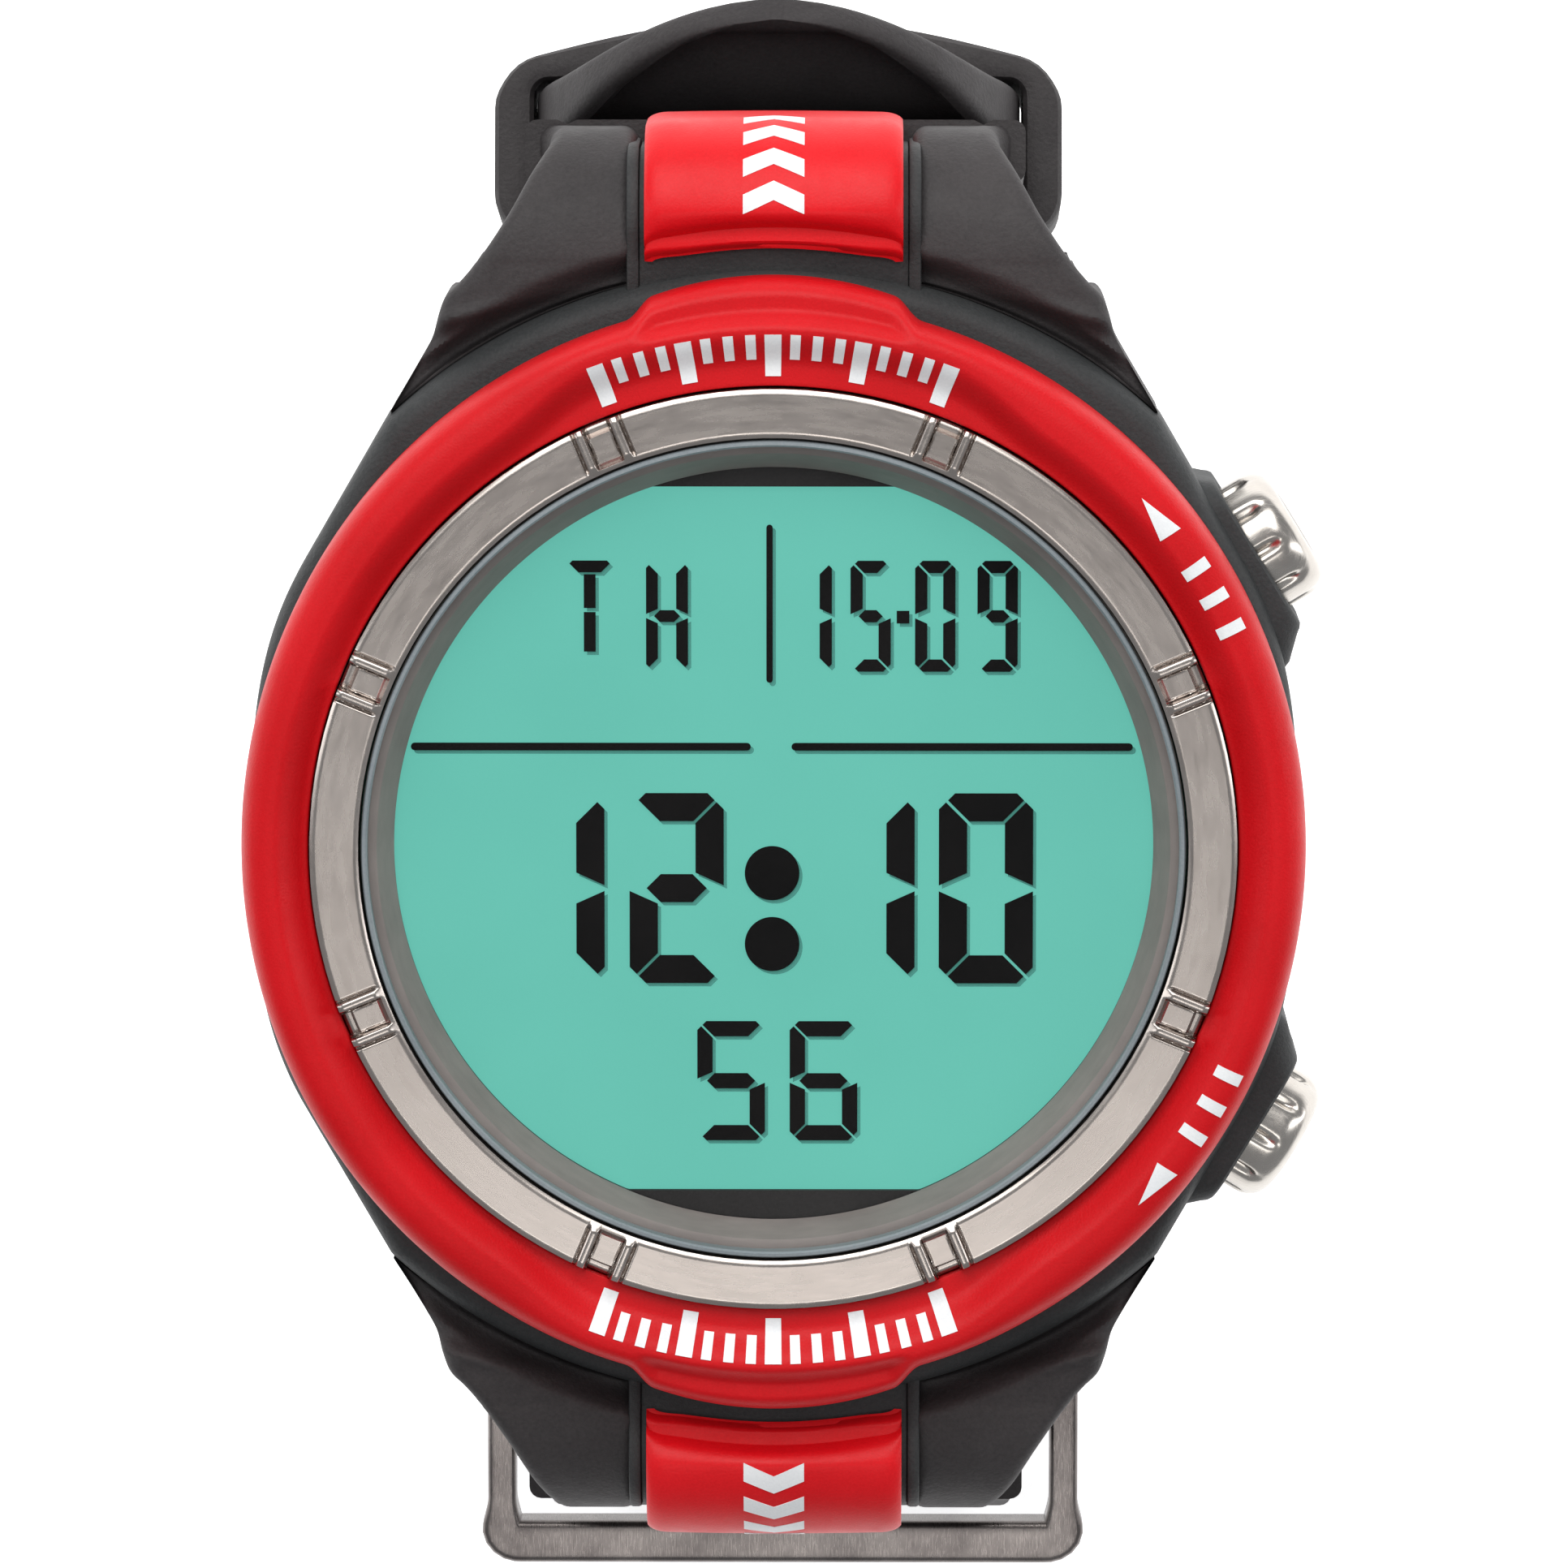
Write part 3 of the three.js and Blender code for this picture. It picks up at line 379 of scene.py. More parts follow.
# Height beyond the crest for a share of the way out: a quarter ellipse, or over the tab a step down to
# a ledge and then a round edge.
def bezelFall(share, angle):
    squareness = 0.78
    fall = np.arcsin(np.clip(share, 0, 1) ** (1 / squareness))
    depth = bezel["crest"] - bezel["shoulder"]
    plain = bezel["shoulder"] + depth * np.cos(fall) ** squareness
    turnDown = 1 - np.sqrt(1 - np.clip((share - 0.62) / 0.38, 0, 1) ** 2)
    ledge = bezel["crest"] - bezel["ledgeDrop"] * ease(0.0, 0.42, share) - bezel["ledgeEdge"] * turnDown
    tab = ease(bezel["tabHalf"] + 0.6, bezel["tabHalf"] - 0.9, np.abs(bezel["tabReach"] * np.cos(angle)))
    return plain + (ledge - plain) * tab


# Height of the dished inner band at a radius and angle.
def bezelDish(radius, angle):
    crest = bezelCrest(angle)
    share = np.clip((radius - bezel["inner"]) / (crest - bezel["inner"]), 0, 1)
    lift = bezel["crest"] - bezel["rim"]
    flat = 0.30 * ease(14.0, 9.0, np.abs(bezel["halfLength"] * np.cos(angle)))
    raised = np.clip((share - flat) / (1 - flat), 0, 1)
    return bezel["rim"] + lift * (1 - np.cos(np.pi * raised)) / 2


# Bezel: closed profile (bore wall, dished band up to the crest, fall to the outer radius, underside)
# turned round Z, its crest and outer radius changing with the angle.
def makeBezel():
    angle = np.linspace(0, 2 * np.pi, 1080, endpoint=False)[:, None]
    outer, crest = bezelOuter(angle), bezelCrest(angle)
    inner, low = bezel["inner"], bezel["low"]
    wall = np.linspace(low + 0.1, bezel["rim"] - 0.15, 4)[None, :]
    dishShare = np.linspace(0.04, 0.97, 20)[None, :]
    dishRadius = inner + (crest - inner) * dishShare
    share = np.sin(np.linspace(0, 90, 30)[None, :] * deg) ** 0.9
    outRadius = crest + (outer - crest) * share
    outHeight = bezelFall(share, angle)
    ones = np.ones_like(angle)
    radius = np.concatenate([
        inner * ones * np.ones_like(wall), (inner + 0.04) * ones, dishRadius, outRadius,
        outer * ones, outer * ones, (outer - 0.25) * ones, (inner + 0.1) * ones,
    ], 1)
    height = np.concatenate([
        wall * ones, (bezel["rim"] - 0.02) * ones, bezelDish(dishRadius, angle), outHeight * ones,
        (low + 1.0) * ones, (low + 0.3) * ones, low * ones, low * ones,
    ], 1)
    points = np.stack([radius * np.cos(angle), radius * np.sin(angle), height], -1)
    return dress(gridObject("bezelSkin", points, closedRows=True), redSkin, "watch", "bezel_ring")


makeBezel()
print("bezel made")


ring = dict(inner=18.28, outer=20.42, low=9.85, top=13.22, notches=8, block=0.50, groove=0.08, ridge=0.48,
            blockDrop=0.34, ridgeRise=0.14)


# Height change of the ring's top near a notch: a sunk block between two raised ridges.
def notchHeight(across, radius):
    side = np.abs(across)
    block = -ring["blockDrop"] * ease(ring["block"] + 0.05, ring["block"] - 0.02, side)
    grooveAt = ring["block"] + ring["groove"] / 2 + 0.03
    groove = -0.32 * np.exp(-((side - grooveAt) / 0.05) ** 2)
    ridgeAt = ring["block"] + ring["groove"] + ring["ridge"] / 2
    ridge = ring["ridgeRise"] * np.sqrt(np.clip(1 - ((side - ridgeAt) / (ring["ridge"] / 2)) ** 2, 0, 1))
    outline = -0.16 * np.exp(-((side - ridgeAt - ring["ridge"] / 2 - 0.05) / 0.06) ** 2)
    near = ease(ring["inner"] + 0.15, ring["inner"] + 0.45, radius)
    step = -0.55 * ease(ring["outer"] - 0.50, ring["outer"] - 0.42, radius) * (side < ring["block"])
    return (block + groove + ridge + outline) * near + step


# Retaining ring: flat top with rounded edges from inner to outer radius, turned round Z, plus the
# notch height at eight even angles; columns are denser near the notches.
def makeRing():
    fine = np.concatenate([np.linspace(-1.5, 1.5, 110) / 19.4, np.linspace(1.6, 13.6, 14) / 19.4])
    angle = np.concatenate([fine + (k + 0.5) * 2 * np.pi / ring["notches"] for k in range(ring["notches"])])
    angle = np.sort(np.mod(angle, 2 * np.pi))[:, None]
    sector = 2 * np.pi / ring["notches"]
    offset = np.mod(angle, sector) - sector / 2
    radius = np.concatenate([[ring["inner"], ring["inner"], ring["inner"] + 0.08],
                             np.linspace(ring["inner"] + 0.2, ring["outer"] - 0.2, 22),
                             [ring["outer"] - 0.07, ring["outer"], ring["outer"]]])[None, :]
    edge = np.minimum(radius - ring["inner"], ring["outer"] - radius)
    top = ring["top"] - 0.10 * (1 - ease(0, 0.16, edge)) + notchHeight(offset * radius, radius)
    height = top + 0 * angle
    height[:, 0] = ring["low"]
    height[:, -1] = ring["low"]
    wide = radius + 0 * angle
    points = np.stack([wide * np.cos(angle), wide * np.sin(angle), height], -1)
    return dress(gridObject("steelRing", points, closedRows=True), ringSteel, "watch", "lens_retaining_ring")


stack = dict(lensRadius=17.85, lensLow=12.25, lensTop=13.2, view=16.8, viewTop=15.9, viewBottom=-15.5,
             film=10.4, maskLow=10.47, maskTop=10.75, module=17.1)


# Outline of the window: circle of the view's radius, cut flat above and below.
def windowRadius(angle):
    up = np.sin(angle)
    high = np.where(up > 1e-6, stack["viewTop"] / np.maximum(up, 1e-6), 1e3)
    low = np.where(up < -1e-6, stack["viewBottom"] / np.minimum(up, -1e-6), 1e3)
    return np.minimum(np.minimum(stack["view"], high), low)


# Mask: flat ring between the window's outline and the display's outer radius, with an even thickness.
def makeMask():
    angle = np.linspace(0, 2 * np.pi, 720, endpoint=False)[:, None]
    window = windowRadius(angle)
    outer = stack["module"] + 0 * angle
    radius = np.concatenate([window, outer, outer, window], 1)
    low, top = stack["maskLow"], stack["maskTop"]
    height = np.array([top, top, low, low])[None, :] + 0 * angle
    points = np.stack([radius * np.cos(angle), radius * np.sin(angle), height], -1)
    mask = gridObject("displayMaskSkin", points, closedRows=True, flip=True)
    return dress(mask, maskInk, "watch", "display_mask")


# Lens, gasket, reflector and film: plain profiles turned round Z.
def makeDisplayStack():
    rim = stack["lensRadius"]
    lens = turned("lensSkin", [(0, stack["lensLow"]), (rim, stack["lensLow"]), (rim, stack["lensTop"] - 0.15),
                               (rim - 0.15, stack["lensTop"]), (0, stack["lensTop"])])
    dress(lens, lensGlass, "watch", "lens")
    gasket = turned("gasketSkin", [(rim + 0.03, 12.2), (rim + 0.3, 12.2), (rim + 0.3, 12.98),
                                   (rim + 0.24, 13.08),
                                   (rim + 0.11, 13.1), (rim + 0.03, 13.02)])
    dress(gasket, gasketRubber, "watch", "lens_gasket")
    low = stack["maskTop"] + 0.08
    view = stack["view"]
    slope = [(view - 0.02, low + 0.05), (view + 0.05, low + 0.2), (rim - 0.35, 12.05), (rim - 0.1, 12.15)]
    reflector = turned("reflectorSkin", [(17.3, low), *slope, (rim + 0.35, 12.15), (rim + 0.35, low)])
    dress(reflector, chamferMetal, "watch", "inner_reflector_ring")
    film = turned("displayFilm", [(0, 9.2), (17.0, 9.2), (17.0, stack["film"]), (0, stack["film"])])
    dress(film, displayFilm, "watch", "lcd_panel")


makeRing()
makeMask()
makeDisplayStack()
print("ring, lens and display made")

# Segment strokes of one digit in a unit cell (width 1, height 1), from start to end.
segmentPlaces = {
    "a": ((0, 1), (1, 1)), "b": ((1, 1), (1, 0.5)), "c": ((1, 0.5), (1, 0)), "d": ((1, 0), (0, 0)),
    "e": ((0, 0), (0, 0.5)), "f": ((0, 0.5), (0, 1)), "g": ((0, 0.5), (1, 0.5)), "m": ((0.5, 1), (0.5, 0.5)),
    "n": ((0.5, 0.5), (0.5, 0)),
}
digitSegments = {"0": "abcdef", "1": "bc", "2": "abged", "5": "afgcd", "6": "afgedc", "9": "abcdfg",
                 "T": "amn", "H": "fegbc"}


# Polygon of one segment: a bar with mitred ends, kept inside the digit's box.
def segmentPolygon(key, box, stroke, gap):
    x0, y0, x1, y1 = box
    half = stroke / 2
    centre = np.array([(x0 + x1) / 2, (y0 + y1) / 2])
    toPlace = lambda p: np.array([x0 + half + p[0] * (x1 - x0 - stroke),
                                  y0 + half + p[1] * (y1 - y0 - stroke)])
    start, end = (toPlace(p) for p in segmentPlaces[key])
    along = (end - start) / np.linalg.norm(end - start)
    normal = np.array([-along[1], along[0]])
    if key == "g":
        start, end = start + along * gap, end - along * gap
        return [start, start + along * half + normal * half, end - along * half + normal * half,
                end, end - along * half - normal * half, start + along * half - normal * half]
    if key in "mn":
        start, end = start + along * (gap if key == "n" else half + gap), end - along * gap
        return [start + normal * half, end + normal * half, end - normal * half, start - normal * half]
    outside = normal if np.dot(normal, (start + end) / 2 - centre) > 0 else -normal
    outerStart, outerEnd = start + outside * half - along * half, end + outside * half + along * half
    innerStart, innerEnd = start - outside * half + along * half, end - outside * half - along * half
    cut = gap * 0.7
    middle = (y0 + y1) / 2
    result = []
    for tip, inner, way in ((outerStart, innerStart, 1), (outerEnd, innerEnd, -1)):
        atMiddle = abs((start if way == 1 else end)[1] - middle) < 1e-6
        if atMiddle:
            point = (start if way == 1 else end) + along * way * gap
            result.append([point + outside * half, point - outside * half + along * way * half * 0.9])
        else:
            chamfer = half * 0.5
            shift = along * way * cut
            result.append([tip + along * way * chamfer * 2 + shift,
                           tip + (along * way - outside) * chamfer + shift, inner + shift])
    first, second = result
    return first[::-1] + second


# Thin upright-sided plates, one for each polygon, as one object.
def flatPieces(name, polygons, low, high, material, shift=(0, 0)):
    verts, faces = [], []
    for polygon in polygons:
        polygon = np.array(polygon) + np.array(shift)
        area = np.sum(polygon[:, 0] * np.roll(polygon[:, 1], -1) - polygon[:, 1] * np.roll(polygon[:, 0], -1))
        if area < 0:
            polygon = polygon[::-1]
        count, base = len(polygon), len(verts)
        verts += [(x, y, low) for x, y in polygon] + [(x, y, high) for x, y in polygon]
        faces.append(list(range(base + count, base + 2 * count)))
        faces.append(list(range(base, base + count))[::-1])
        faces += [[base + i, base + (i + 1) % count, base + count + (i + 1) % count, base + count + i]
                  for i in range(count)]
    mesh = bpy.data.meshes.new(name)
    mesh.from_pydata((np.array(verts) * mm).tolist(), [], faces)
    item = bpy.data.objects.new(name, mesh)
    bpy.context.collection.objects.link(item)
    return dress(item, material, "watch")


display = dict(
    digits=[("T", (-9.20, 8.20, -7.03, 12.59), 0.52), ("H", (-5.63, 7.67, -3.78, 12.59), 0.52),
            ("1", (1.1, 7.67, 2.57, 12.59), 0.54), ("5", (3.39, 7.67, 5.17, 12.59), 0.54),
            ("0", (6.24, 7.67, 8.02, 12.59), 0.54), ("9", (8.99, 7.67, 10.77, 12.59), 0.54),
            ("1", (-12.2, -6.24, -7.49, 2.25), 1.25), ("2", (-6.38, -6.24, -2.21, 2.25), 1.25),
            ("1", (1.1, -6.24, 6.24, 2.25), 1.25), ("0", (7.31, -6.24, 11.48, 2.25), 1.25),
            ("5", (-3.39, -13.30, -0.39, -7.95), 0.68), ("6", (0.71, -13.30, 3.71, -7.95), 0.68)],
    ruleHeight=4.32, ruleWidth=0.34, rules=((-15.87, -1.18), (0.96, 15.7)),
    divider=(-0.18, 7.31, 14.05), dividerWidth=0.28,
    colon=((-0.07, -1.32), (-0.07, -4.49)), colonRadius=1.21, dot=(5.71, 10.09, 0.28),
    lift=0.03, height=0.05, shadow=(0.14, -0.16))


# A bar with round ends between two points.
def barPolygon(start, end, width):
    start, end = np.array(start, float), np.array(end, float)
    heading = math.atan2(end[1] - start[1], end[0] - start[0]) / deg
    return np.concatenate([arcPoints(*end, width / 2, heading - 90, heading + 90, 8),
                           arcPoints(*start, width / 2, heading + 90, heading + 270, 8)])


# All dark display shapes as thin plates, and their faint shadows a little below and aside.
def makeSegments():
    polygons = []
    for glyph, box, stroke in display["digits"]:
        for key in digitSegments[glyph]:
            polygons.append(segmentPolygon(key, box, stroke, 0.09 if stroke < 1 else 0.13))
    y = display["ruleHeight"]
    for x0, x1 in display["rules"]:
        polygons.append(barPolygon((x0, y), (x1, y), display["ruleWidth"]))
    x, low, high = display["divider"]
    polygons.append(barPolygon((x, low), (x, high), display["dividerWidth"]))
    for cx, cy in display["colon"]:
        polygons.append(arcPoints(cx, cy, display["colonRadius"], 0, 352, 45))
    cx, cy, half = display["dot"]
    polygons.append([(cx + sx * half, cy + sy * half) for sx, sy in ((-1, -1), (1, -1), (1, 1), (-1, 1))])
    low = stack["film"] + display["lift"]
    flatPieces("displaySegments", polygons, low + 0.04, low + 0.04 + display["height"], segmentInk)
    flatPieces("segmentShadows", polygons, low - 0.02, low, shadowFilm, display["shadow"])


makeSegments()
print("display segments made")


case = dict(bottom=0.9, top=9.7, radius=25.4, side=23.3, shoulderAngle=30, shoulderRadius=24.2, bay=14.9,
            module=17.3, moduleFloor=6.5, back=19.7, backSeat=1.9)


# Case outline: narrow at the sides, straight shoulders, round under the wings.
def caseOutline(angle):
    turn = np.abs(np.mod(angle / deg, 180))
    side = np.minimum(turn, 180 - turn)
    blend = np.sin(np.clip(side / case["shoulderAngle"], 0, 1) * np.pi / 2) ** 2
    low = case["side"] + (case["shoulderRadius"] - case["side"]) * blend
    straight = case["shoulderRadius"] / np.cos(np.clip(side - case["shoulderAngle"], 0, 60) * deg)
    return np.where(side < case["shoulderAngle"], low, np.minimum(case["radius"], straight))


# Case wall: the outline drawn in by an offset at each height, then stepped bores inside.
def makeCaseWall():
    angle = np.linspace(0, 2 * np.pi, 720, endpoint=False)[:, None]
    outline = caseOutline(angle)
    drop = [(-3.4, case["bottom"]), (-2.6, 0.95), (-1.5, 1.5), (-0.7, 2.5), (-0.15, 3.9), (0, 5.2), (0, 8.3),
            (-0.06, 8.8),
            (-0.28, 9.3), (-0.62, 9.62), (-0.95, case["top"])]
    inner = [(case["module"], case["top"]), (case["module"], case["moduleFloor"]),
             (case["bay"], case["moduleFloor"]), (case["bay"], case["backSeat"]),
             (case["back"], case["backSeat"]), (case["back"], 0.95)]
    radius = np.concatenate([outline + r for r, _ in drop] + [r + 0 * angle for r, _ in inner], 1)
    height = np.array([z for _, z in drop + inner])[None, :] + 0 * angle
    points = np.stack([radius * np.cos(angle), radius * np.sin(angle), height], -1)
    return gridObject("caseWall", points, closedRows=True)


lug = dict(half=6.5, reach=31.4, bottom=1.5, crown=4.0, railWidth=0.55, insertHalf=5.7,
           insertThickness=1.3, start=27.2)
crownY = lug["reach"] - lug["crown"]
crownZ = case["top"] + 0.4 - lug["crown"]


# Extrudes a closed (y, z) outline along X, with its rims drawn in to round them.
def slab(name, outline, x0, x1, rim=0.2, sign=1):
    outline = np.array(outline, float)
    along = np.roll(outline, -1, 0) - np.roll(outline, 1, 0)
    along /= np.linalg.norm(along, axis=1, keepdims=True)
    inward = np.stack([-along[:, 1], along[:, 0]], -1)
    centre = outline.mean(0)
    if np.mean(np.sum(inward * (centre - outline), 1)) < 0:
        inward = -inward
    steps = [(0, rim), (rim * 0.3, rim * 0.3), (rim, 0)]
    rows = [(x0 + a, b) for a, b in steps] + [(x1 - a, b) for a, b in steps[::-1]]
    grid = np.stack([np.column_stack([np.full(len(outline), x), outline + inward * b]) for x, b in rows])
    grid[..., 1] *= sign
    return gridObject(name, grid)


# Side outline of a lug block, let down by a drop.
def lugOutline(drop):
    radius, top = lug["crown"] - drop, case["top"] - drop * 0.9
    return np.concatenate([
        [(20, lug["bottom"]), (lug["reach"] - 1.0 - drop, lug["bottom"])],
        arcPoints(lug["reach"] - 0.9 - drop, lug["bottom"] + 0.9, 0.9, -80, 0, 5),
        arcPoints(crownY, crownZ, radius, 0, 90, 14),
        [(crownY - 0.6, crownZ + radius - 0.1), (crownY - 1.0, top), (20, top)]])


button = dict(angle=31.5, height=4.9, radius=3.05, back=23.75, face=26.9, dish=26.84, bossFace=24.8,
              bossHalf=3.9,
              wellRadius=3.3, well=22.0, grooves=10, grooveHalf=0.075, grooveDepth=0.3, nudge=(0.3, -0.35))


# Places points given along and across a button's axis.
def onButtonAxis(points, sign):
    turn = sign * button["angle"] * deg
    x, y, z = points[..., 0], points[..., 1], points[..., 2] + button["height"]
    dx, dy = button["nudge"]
    return np.stack([x * math.cos(turn) - y * math.sin(turn) + dx,
                     x * math.sin(turn) + y * math.cos(turn) + dy, z], -1)


# One button's boss: a block with angled ends round a round well; columns run round the button's axis.
def makeBoss(sign):
    box = roundedBox(button["bossHalf"], 3.75, 1.5, 10, 6)
    around = np.arctan2(box[:, 1], box[:, 0])
    circle = np.stack([np.cos(around), np.sin(around)], -1)
    rows = [(18.0, box * np.array([1.38, 1.0])), (22.9, box * np.array([1.32, 1.0])),
            (23.5, box * np.array([1.26, 1.0])), (24.45, box * np.array([1.03, 1.0])), (24.68, box * 0.985),
            (button["bossFace"], box * 0.945), (button["bossFace"], circle * 3.5),
            (24.72, circle * 3.36), (24.5, circle * button["wellRadius"]),
            (button["well"], circle * button["wellRadius"]), (button["well"], circle * 0.9)]
    grid = np.stack([np.column_stack([np.full(len(p), x), p[:, 0], p[:, 1]]) for x, p in rows])
    return gridObject("boss", onButtonAxis(grid, sign))


# Case: wall, two lug cores with a rail either side, and two button bosses.
def makeCase():
    items = [makeCaseWall()]
    for sign in (1, -1):
        items.append(slab("lugCore", lugOutline(0.85), -5.95, 5.95, 0.1, sign))
        items.append(slab("railLeft", lugOutline(0.7), -lug["half"], -lug["half"] + lug["railWidth"], 0.14,
                          sign))
        items.append(slab("railRight", lugOutline(0.7), lug["half"] - lug["railWidth"], lug["half"], 0.14,
                          sign))
        items.append(makeBoss(sign))
    return dress(joined("caseShell", items), casePolymer, "watch", "case_body")


# Crowned plate over the lug: its path runs from the bezel over the crown and down; edges roll off.
def insertSurface(across, along):
    path = np.concatenate([
        [(lug["start"], crownZ + 3.45), (lug["start"] + 0.34, crownZ + 4.18)],
        arcPoints(crownY, crownZ, 4.5, 83, 0, 30), [(crownY + 4.5, 2.2)]])
    path, _ = evenly(path, 90)
    path = softened(path, 2)
    _, normal = pathNormals(path)
    place, rows = np.clip(along, 0, 1) * 89, np.arange(90)
    y, z = (np.interp(place, rows, path[:, k]) for k in (0, 1))
    ny, nz = (np.abs(np.interp(place, rows, -normal[:, k])) for k in (0, 1))
    edge = np.clip((np.abs(across) - (lug["insertHalf"] - 0.9)) / 0.9, 0, 1)
    sink = 0.08 * (across / lug["insertHalf"]) ** 2 + 0.42 * (1 - np.sqrt(np.clip(1 - edge ** 2 * 0.94, 0,
                                                                                  1)))
    curve = lug["start"] - np.sqrt(lug["start"] ** 2 - across ** 2)
    pull = curve * ease(0.16, 0.0, along)
    return np.stack([across, y - ny * sink - pull, z - nz * sink], -1), ny, nz


# Lug plate: the crowned surface on top, the same surface sunk along its normal underneath,
# thinner towards the sides, closed at its end by a slightly drawn-in row.
def makeInsert(sign, name, node):
    across = np.sin(np.linspace(-90, 90, 41) * deg) * lug["insertHalf"]
    along = np.linspace(0, 1, 90)
    a, s = np.meshgrid(across, along)
    top, ny, nz = insertSurface(a, s)
    under = top.copy()
    thick = lug["insertThickness"] - 0.35 - 0.6 * (np.abs(a) / lug["insertHalf"]) ** 8 * 0.6
    under[..., 1] -= ny * thick
    under[..., 2] -= nz * thick
    grid = np.concatenate([top, under[:, ::-1]], 1)
    start = grid[0] * 0.94 + grid[0].mean(0) * 0.06
    start[:, 1] -= 0.06
    grid = np.concatenate([start[None], grid], 0)
    grid[..., 1] *= sign
    return dress(gridObject(name, grid), redInlay, "watch", node)


makeCase()
makeInsert(1, "upperInlay", "upper_lug_insert")
makeInsert(-1, "lowerInlay", "lower_lug_insert")
print("case and inlays made")


# Grooved cap: rounded front rim, narrow grooves along the side that end short of the front.
def makeCap(sign, name, body, node):
    around = np.linspace(0, 2 * np.pi, 288, endpoint=False)[:, None]
    pitch = 2 * np.pi / button["grooves"]
    offset = np.mod(around, pitch) - pitch / 2
    wave = np.exp(-(offset / button["grooveHalf"]) ** 2)
    face, radius = button["face"], button["radius"]
    dish = button["dish"]
    # radius, place along the axis, share of the groove's depth
    profile = [(0.0, button["back"], 0), (radius - 0.4, button["back"], 0), (radius - 0.1, 23.95, 1),
               (radius, 24.3, 1), (radius, 24.9, 1),
               (radius, 25.3, 0.98), (radius, 25.55, 0.85), (radius, 25.75, 0.6), (radius - 0.01, 25.9, 0.35),
               (radius - 0.04, 26.05, 0.14), (radius - 0.12, 26.28, 0.03), (radius - 0.24, 26.5, 0),
               (radius - 0.42, 26.69, 0), (radius - 0.65, 26.83, 0), (radius - 0.9, 26.89, 0),
               (radius - 1.2, face, 0), (radius - 1.35, dish, 0), (1.0, dish, 0), (0.0, dish, 0)]
    plainRadius, place, depth = np.array(profile).T
    r = plainRadius[None, :] - button["grooveDepth"] * wave * depth
    x = place[None, :] + 0 * around
    grid = onButtonAxis(np.stack([x, r * np.cos(around), r * np.sin(around)], -1), sign)
    return dress(gridObject(name, grid, closedRows=True, closedColumns=False), buttonSteel, body, node)


makeCap(1, "upperCap", "upper_button", "upper_button_cap")
makeCap(-1, "lowerCap", "lower_button", "lower_button_cap")
print("buttons made")


strap = dict(half=11.2, upper=2.8, tail=2.6, startY=29.7, startZ=-2.0, lean=11, loop=22, bottom=-40.0,
             gap=0.6,
             bend=10, tipBend=14, tipTurn=38, tipLength=14.0, heelY=-28.0, climb=11.0)
lean = strap["lean"] * deg
layer = (strap["upper"] + strap["tail"]) / 2 + strap["gap"]
loopZ = strap["bottom"] + strap["loop"]
bendZ = loopZ - strap["loop"] * math.sin(lean)
loopY = strap["startY"] - (strap["startZ"] - bendZ) * math.tan(lean) - strap["loop"] * math.cos(lean)


# Middle line of the buckle half, from the upper lug to the buckle pin.
def upperLine():
    return evenly(np.concatenate([
        [(strap["startY"] + 0.35, 1.6), (strap["startY"] + 0.1, -0.6)],
        [(strap["startY"], strap["startZ"])],
        arcPoints(loopY, loopZ, strap["loop"], -strap["lean"], -90, 60),
        [(strap["heelY"], strap["bottom"])]]), 260)[0]


# Middle line of the tail half: lower lug, round the buckle, outside the buckle half, flared tip.
def tailLine():
    low = strap["bottom"] - layer
    bendY, tailBendZ = strap["heelY"] + 0.8, low + strap["bend"]
    outside = strap["loop"] + layer
    start = np.array([-strap["startY"], strap["startZ"]])
    reach = math.hypot(start[0] - bendY, start[1] - tailBendZ)
    aim = math.atan2(start[1] - tailBendZ, start[0] - bendY)
    tangent = (aim + math.acos(strap["bend"] / reach)) / deg
    topY = loopY + outside * math.cos(lean) + strap["climb"] * math.sin(lean)
    topZ = loopZ - outside * math.sin(lean) + strap["climb"] * math.cos(lean)
    tipY, tipZ = topY + strap["tipBend"] * math.cos(lean), topZ - strap["tipBend"] * math.sin(lean)
    return evenly(np.concatenate([
        [(-strap["startY"] - 0.35, 1.6), (-strap["startY"] - 0.1, -0.6), tuple(start)],
        arcPoints(bendY, tailBendZ, strap["bend"], tangent, 270, 40),
        arcPoints(loopY, loopZ, outside, -90, -strap["lean"], 60),
        [(topY, topZ)],
        arcPoints(tipY, tipZ, strap["tipBend"], 180 - strap["lean"], 180 - strap["lean"] - strap["tipTurn"],
                  24)[1:]]), 420)


# Solid of round sections along X, from pairs of place and radius, about a (y, z) centre.
def roundBar(name, rows, centre, count, closedRows=False):
    rings = [np.column_stack([np.full(count, x), arcPoints(*centre, r, 0, 360 - 360 / count, count)])
             for x, r in rows]
    return gridObject(name, np.stack(rings), closedRows=closedRows)


